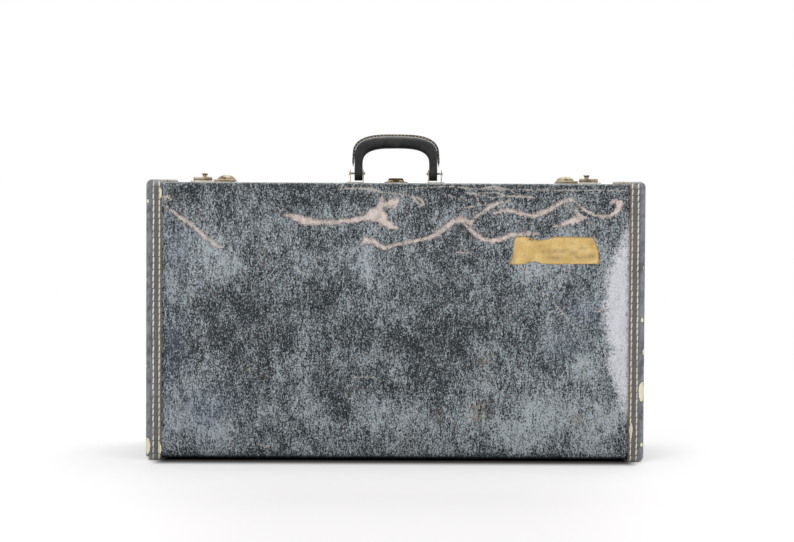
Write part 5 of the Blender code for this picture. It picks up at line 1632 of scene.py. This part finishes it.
def metal_finish(name, plating, beneath, grime, wear, dirt, roughness=0.28):
    r = Recipe(name, Metallic=1.0)
    gone = r.noise(190.0, 5.0, 0.68, 0.8)
    brushed = r.noise(420.0, 3.0, 0.6, 0.0, r.stretched((0.18, 1, 1)))
    specks = r.noise(900.0, 3.0, 0.7)
    colour = r.blend(r.band(gone, 0.62 - 0.16 * wear, 0.74 - 0.16 * wear), plating, beneath)
    colour = r.coat(colour, brushed, 0.22, toned(plating, 0.62))
    soiled = r.band(r.noise(95.0, 4.0, 0.66, 0.4), 0.64 - 0.2 * dirt, 0.80 - 0.2 * dirt)
    soiled = r.times(soiled, r.band(specks, 0.28, 0.55, 0.55, 1.0))
    colour = r.coat(colour, soiled, 0.85, grime)
    colour = r.coat(colour, r.band(specks, 0.66, 0.74), 0.6, grime)
    rough = r.times_plus(soiled, 0.38, r.times_plus(brushed, 0.18, roughness))
    relief = r.plus(r.times(brushed, 0.4), r.times(specks, 0.6))
    return r.finish(Base_Color=colour, Roughness=rough, Normal=r.bump(relief, METAL_RELIEF))


METALS = {
    "latch_plating": metal_finish("worn_nickel", (0.36, 0.305, 0.215), (0.24, 0.165, 0.075),
                                  (0.045, 0.032, 0.016), 0.7, 0.75),
    "bracket_metal": metal_finish("copper_plate", (0.40, 0.33, 0.26), (0.30, 0.17, 0.09),
                                  (0.05, 0.035, 0.022), 0.7, 0.75, 0.34),
    "dark_brass": metal_finish("dark_brass", (0.060, 0.044, 0.018), (0.16, 0.12, 0.055),
                               (0.014, 0.009, 0.003), 0.5, 0.8, 0.44),
    "plain_steel": metal_finish("oily_steel", (0.46, 0.45, 0.43), (0.36, 0.33, 0.29),
                                (0.08, 0.06, 0.045), 0.5, 0.6, 0.34),
    "hinge_metal": metal_finish("hinge_steel", (0.50, 0.47, 0.41), (0.34, 0.26, 0.18),
                                (0.09, 0.06, 0.04), 0.6, 0.7, 0.36),
}
# A brighter copy of the plating, a painted highlight, for the three base plates.
painted_highlight_nickel = metal_finish("painted_highlight_nickel", (0.72, 0.67, 0.57), (0.46, 0.37, 0.24),
                             (0.10, 0.075, 0.042), 0.6, 0.5)
print("Metals:", painted_highlight_nickel.name, *[metal.name for metal in METALS.values()])

# %% [markdown]
# Each fitting takes the metal of its material slot, so the record of the imported model decides which
# pieces are plated and which are plain. The three base plates are the exception: they take the
# brighter copy of the plating, a painted highlight. The two knobs are left out here because they are
# turned anew below.

# %% Dress the fittings
MADE_ANEW = ("left_latch_knob", "right_latch_knob")
HIGHLIT_PLATES = ("left_latch_plate", "right_latch_plate", "centre_lock_plate")
for node, slot in SLOT.items():
    if slot in METALS and node not in MADE_ANEW:
        dress_fitting(node, painted_highlight_nickel if node in HIGHLIT_PLATES else METALS[slot])
for side in ENDS:
    let_it_shorten(side)

# %% [markdown]
# The thumb knob is turned on a lathe, so it is spun here too: a line of points from the middle of the
# top, with its shallow dimple, out over the bead, in at the neck and out to the foot. The points are
# shares of the knob's radius and height. Its stem below belongs to the slider.

# %% Thumb knobs
KNOB_PROFILE_SHARES = [
    (0.0, 0.80), (0.22, 0.80), (0.40, 0.83), (0.52, 0.90), (0.62, 0.97), (0.74, 1.0), (0.88, 0.985),
    (0.97, 0.94), (1.0, 0.88), (1.0, 0.80), (0.97, 0.74), (0.88, 0.67), (0.77, 0.58), (0.71, 0.46),
    (0.68, 0.34), (0.69, 0.24), (0.75, 0.15), (0.84, 0.10), (0.86, 0.05), (0.86, 0.0), (0.0, 0.0),
]
SPIN_STEPS = 40


def turned(profile, centre):
    """Spin a profile of (radius, height) points round a vertical line through centre."""
    bm = bmesh.new()
    verts = [bm.verts.new((centre.x + radius, centre.y, centre.z + height)) for radius, height in profile]
    edges = [bm.edges.new(pair) for pair in zip(verts, verts[1:])]
    bmesh.ops.spin(bm, geom=verts + edges, cent=centre, axis=(0, 0, 1), angle=2 * math.pi,
                   steps=SPIN_STEPS, use_merge=True)
    bmesh.ops.remove_doubles(bm, verts=bm.verts, dist=WELD)
    bmesh.ops.recalc_face_normals(bm, faces=bm.faces)
    return bm


for node in MADE_ANEW:
    low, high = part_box(node)
    centre = Vector(((low.x + high.x) / 2, (low.y + high.y) / 2, low.z))
    radius, height = (high.x - low.x) / 2, high.z - low.z
    profile = [(radius * wide, height * tall) for wide, tall in KNOB_PROFILE_SHARES]
    knob = turned(profile, centre)
    add_piece(f"{node}_turned", knob, METALS["latch_plating"], BODY[node], SLOT[node], node)

# %% [markdown]
# Small round-headed nails and rivets hold the plates. Each is a ball squashed to a low dome, half sunk
# in its plate. They sit in the corners that the moving hasp and knob leave free, and a ray cast down
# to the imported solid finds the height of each.

# %% Nails
BALL_SEGMENTS, BALL_RINGS = 14, 8
NAIL = (1.15 * MM, 0.55 * MM)
SMALL_NAIL = (0.95 * MM, 0.45 * MM)
HINGE_NAIL = (1.6 * MM, 0.5 * MM)
PLATE_INSET = (2 * MM, 2 * MM)
HASP_LEAF_INSET = (3 * MM, 2.6 * MM)
HINGE_LEAF_INSET = (6 * MM, 4 * MM)
BRACKET_INSET = (1.7 * MM, 3 * MM)


def landing(node, x, y, from_above):
    """Where a nail dropped at x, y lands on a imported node."""
    mesh = frame["nodes"][node].data
    tree = BVHTree.FromPolygons([v.co for v in mesh.vertices], [p.vertices for p in mesh.polygons])
    way = -1 if from_above else 1
    return tree.ray_cast(Vector((x, y, -way)), Vector((0, 0, way)))[0]


def nail_down(node, spots, nail, from_above=True):
    """Nail a plate at some (x, y) spots. nail is a radius and a height. The nails ride with the plate."""
    places = [landing(node, x, y, from_above) for x, y in spots]
    found = [place for place in places if place is not None]
    way = Vector((0, 0, 1 if from_above else -1)).to_track_quat("Z", "Y").to_matrix().to_4x4()
    size = Matrix.Diagonal((nail[0], nail[0], nail[1], 1))
    bm = bmesh.new()
    for place in found:
        matrix = Matrix.Translation(place) @ way @ size
        bmesh.ops.create_uvsphere(bm, u_segments=BALL_SEGMENTS, v_segments=BALL_RINGS, radius=1,
                                  matrix=matrix)
    bmesh.ops.recalc_face_normals(bm, faces=bm.faces)
    print(f"{node}: {len(found)} nails")
    add_piece(f"{node}_nails", bm, METALS[SLOT[node]], BODY[node], SLOT[node], smooth_to=60)


def spots_in(node, inset_x, inset_y):
    """The (x, y) spots a little inside the four corners of a node's box."""
    low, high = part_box(node)
    return [(x, y) for x in (low.x + inset_x, high.x - inset_x) for y in (low.y + inset_y, high.y - inset_y)]


def outer_spots(node, inset_x, inset_y):
    """Of those four spots, the two on the side away from the seam."""
    seam_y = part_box("left_hinge_pin")[0].y
    return sorted(spots_in(node, inset_x, inset_y), key=lambda spot: -abs(spot[1] - seam_y))[:2]


for side in ENDS:
    hasp_low, hasp_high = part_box(f"{side}_hasp")
    clear = [(x, y) for x, y in spots_in(f"{side}_latch_plate", *PLATE_INSET)
             if y > hasp_high.y or not hasp_low.x < x < hasp_high.x]
    nail_down(f"{side}_latch_plate", clear, NAIL)
    nail_down(f"{side}_hasp_leaf", outer_spots(f"{side}_hasp_leaf", *HASP_LEAF_INSET), SMALL_NAIL)
    low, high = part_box(f"{side}_handle_bracket")
    far_x = high.x - BRACKET_INSET[0] if side == "right" else low.x + BRACKET_INSET[0]
    ears = [(far_x, low.y + BRACKET_INSET[1]), (far_x, high.y - BRACKET_INSET[1])]
    nail_down(f"{side}_handle_bracket", ears, SMALL_NAIL)
    for half in ("base", "lid"):
        leaf = f"{side}_hinge_{half}_leaf"
        nail_down(leaf, outer_spots(leaf, *HINGE_LEAF_INSET), HINGE_NAIL, from_above=False)
nail_down("centre_lock_plate", spots_in("centre_lock_plate", *PLATE_INSET), SMALL_NAIL)
nail_down("centre_hasp_leaf", outer_spots("centre_hasp_leaf", *HASP_LEAF_INSET), SMALL_NAIL)

# %% [markdown]
# A torn piece of an old paper label is left on the lid. It starts as one face with the torn outline,
# whose edge is cut up and shaken by noise, then gets a grid so that the paper can lift a little from
# the covering along its edge. The vector noise draws its offsets by chance, so it gets a seed here.
# The label carries only smudges and a darker torn rim.

# %% Label remnant
LABEL_PIXELS = [
    (509.6, 264.2), (511, 259), (512.4, 254.2), (513.4, 246), (514.3, 238.9), (516.3, 236.5), (523.9, 236),
    (528.4, 237), (531.4, 240.6), (538.3, 240.3), (547.8, 238.9), (554.5, 236.5), (567, 236.5),
    (580, 236.8), (592.8, 237.4), (595.7, 242.7), (598.5, 252.3), (599, 263.8), (583, 264.4), (567, 264.2),
    (553, 264.4), (541.1, 263.8), (536.4, 261.8), (530.6, 261.8), (523.9, 264.2), (516, 264.8),
]
LABEL_SMUDGES = [
    (512, 257.5, 2.6, 6.5), (531, 260, 4, 1.6), (530, 239.6, 3, 1.4), (573, 253, 4, 1.6), (592, 243, 2, 3),
    (546, 252, 7, 2.4), (560, 251, 8, 2), (556, 258, 10, 2.6), (580, 257, 8, 3), (592, 256, 4, 3),
    (583, 248, 4, 1.5), (571, 243, 3, 1), (541, 246, 3, 1),
]
LABEL_THICKNESS = 0.14 * MM
LABEL_LIFT = 0.30 * MM
LABEL_CELL = 2.6 * MM
LABEL_SHAKE = 0.34 * MM
LABEL_SEED = 3
SHAKE_LENGTHS = (1.9 * MM, 0.8 * MM)
LABEL_SINK = 0.02 * MM
CURL_REACH_MM, CURL_LENGTH = 1.6, 8 * MM
RIM_MM = 1.1
LABEL_RELIEF = 0.08 * MM
LABEL_GOLD = (0.68, 0.455, 0.145)
LABEL_PALE = (0.82, 0.60, 0.25)
LABEL_SMUDGE = (0.30, 0.19, 0.075)


def label_finish():
    r = Recipe("label_paper")
    fibres = r.noise(420.0, 4.0, 0.65)
    patches = r.noise(60.0, 3.0, 0.6)
    colour = r.blend(r.band(patches, 0.32, 0.68), LABEL_GOLD, LABEL_PALE)
    colour = r.coat(colour, r.band(fibres, 0.50, 0.68), 0.42, LABEL_SMUDGE)
    smudged = r.times(r.painted("smudge"), r.band(r.noise(240.0, 4.0, 0.7), 0.30, 0.60))
    colour = r.coat(colour, r.maths("MINIMUM", smudged, 1.0), 0.80, LABEL_SMUDGE)
    rim = r.band(r.times_plus(r.noise(500.0, 3.0), 0.9, r.painted("rim")), 0.80, 1.35)
    colour = r.coat(colour, rim, 0.85, LABEL_SMUDGE)
    return r.finish(Base_Color=colour, Roughness=r.times_plus(fibres, 0.25, 0.5),
                    Normal=r.bump(fibres, LABEL_RELIEF))


def make_label():
    outline = lid_marks(LABEL_PIXELS, panel_y)
    bm = bmesh.new()
    verts = [bm.verts.new((x * MM, panel_y - LABEL_SINK, z * MM)) for x, z in outline]
    bmesh.ops.contextual_create(bm, geom=verts)
    bmesh.ops.subdivide_edges(bm, edges=bm.edges[:], cuts=5)
    noise.seed_set(LABEL_SEED)
    for vert in bm.verts:
        wide, fine = (noise.noise_vector(vert.co / length) for length in SHAKE_LENGTHS)
        shake = wide + 0.6 * fine
        vert.co += Vector((shake.x, 0, shake.z)) * LABEL_SHAKE
    for axis in (0, 2):
        lowest = min(v.co[axis] for v in bm.verts)
        highest = max(v.co[axis] for v in bm.verts)
        for n in range(1, int((highest - lowest) / LABEL_CELL)):
            cut_at(bm, axis, lowest + n * LABEL_CELL)
    if sum(face.normal.y * face.calc_area() for face in bm.faces) > 0:
        bmesh.ops.reverse_faces(bm, faces=bm.faces)
    places = np.array([(v.co.x, v.co.z) for v in bm.verts]) / MM
    for vert, gap in zip(bm.verts, outside_outline(places, outline)):
        near = math.exp(-abs(gap) / CURL_REACH_MM)
        wave = 0.5 + 0.5 * noise.noise(vert.co / CURL_LENGTH)
        vert.co.y -= LABEL_THICKNESS + LABEL_LIFT * near * wave
    bm = thickened(bm, LABEL_THICKNESS)
    piece = add_piece("label_remnant", bm, label_finish(), "lid", "covering")
    places = points_of(piece)[:, [0, 2]] / MM
    paint(piece, "smudge", blots(places, lid_marks(LABEL_SMUDGES, panel_y)))
    paint(piece, "rim", np.exp(outside_outline(places, outline).clip(-9, 0) / RIM_MM))


make_label()

# %% [markdown]
# One end of the waxed thread has come loose and hangs from the lower corner of the right binding. A
# curve with a round bevel makes a thread from a handful of points, and is then turned into a mesh. Its
# lowest points are kept above the floor.

# %% Frayed thread
FRAY_PIXELS = [(627.2, 458.6), (627.6, 460.2), (628.8, 461.2), (630.2, 460.8), (631.2, 459.2)]
FRAY_RADIUS = 0.32 * MM
FRAY_OUT = 0.5 * MM


def thread_mesh(name, path, radius):
    """A round thread along a smooth path, as a bmesh."""
    curve = bpy.data.curves.new(name, "CURVE")
    curve.dimensions = "3D"
    curve.bevel_depth = radius
    curve.bevel_resolution = 2
    curve.use_fill_caps = True
    spline = curve.splines.new("NURBS")
    spline.points.add(len(path) - 1)
    for point, place in zip(spline.points, path):
        point.co = (*place, 1)
    spline.use_endpoint_u = True
    spline.order_u = 3
    spline.resolution_u = 6
    holder = bpy.data.objects.new(name, curve)
    bpy.context.scene.collection.objects.link(holder)
    graph = bpy.context.evaluated_depsgraph_get()
    bm = bmesh.new()
    bm.from_mesh(holder.evaluated_get(graph).to_mesh())
    bpy.data.objects.remove(holder, do_unlink=True)
    bmesh.ops.remove_doubles(bm, verts=bm.verts, dist=WELD)
    bmesh.ops.recalc_face_normals(bm, faces=bm.faces)
    return bm


fray_path = [Vector((x * MM, panel_y - FRAY_OUT, max(z * MM, 2 * FRAY_RADIUS)))
             for x, z in lid_marks(FRAY_PIXELS, panel_y)]
loose_thread = thread_mesh("frayed_thread", fray_path, FRAY_RADIUS)
fray = add_piece("frayed_thread", loose_thread, waxed_thread, "lid", "binding_leather", smooth_to=80)
paint(fray, "aged", np.ones(len(fray.data.vertices)))
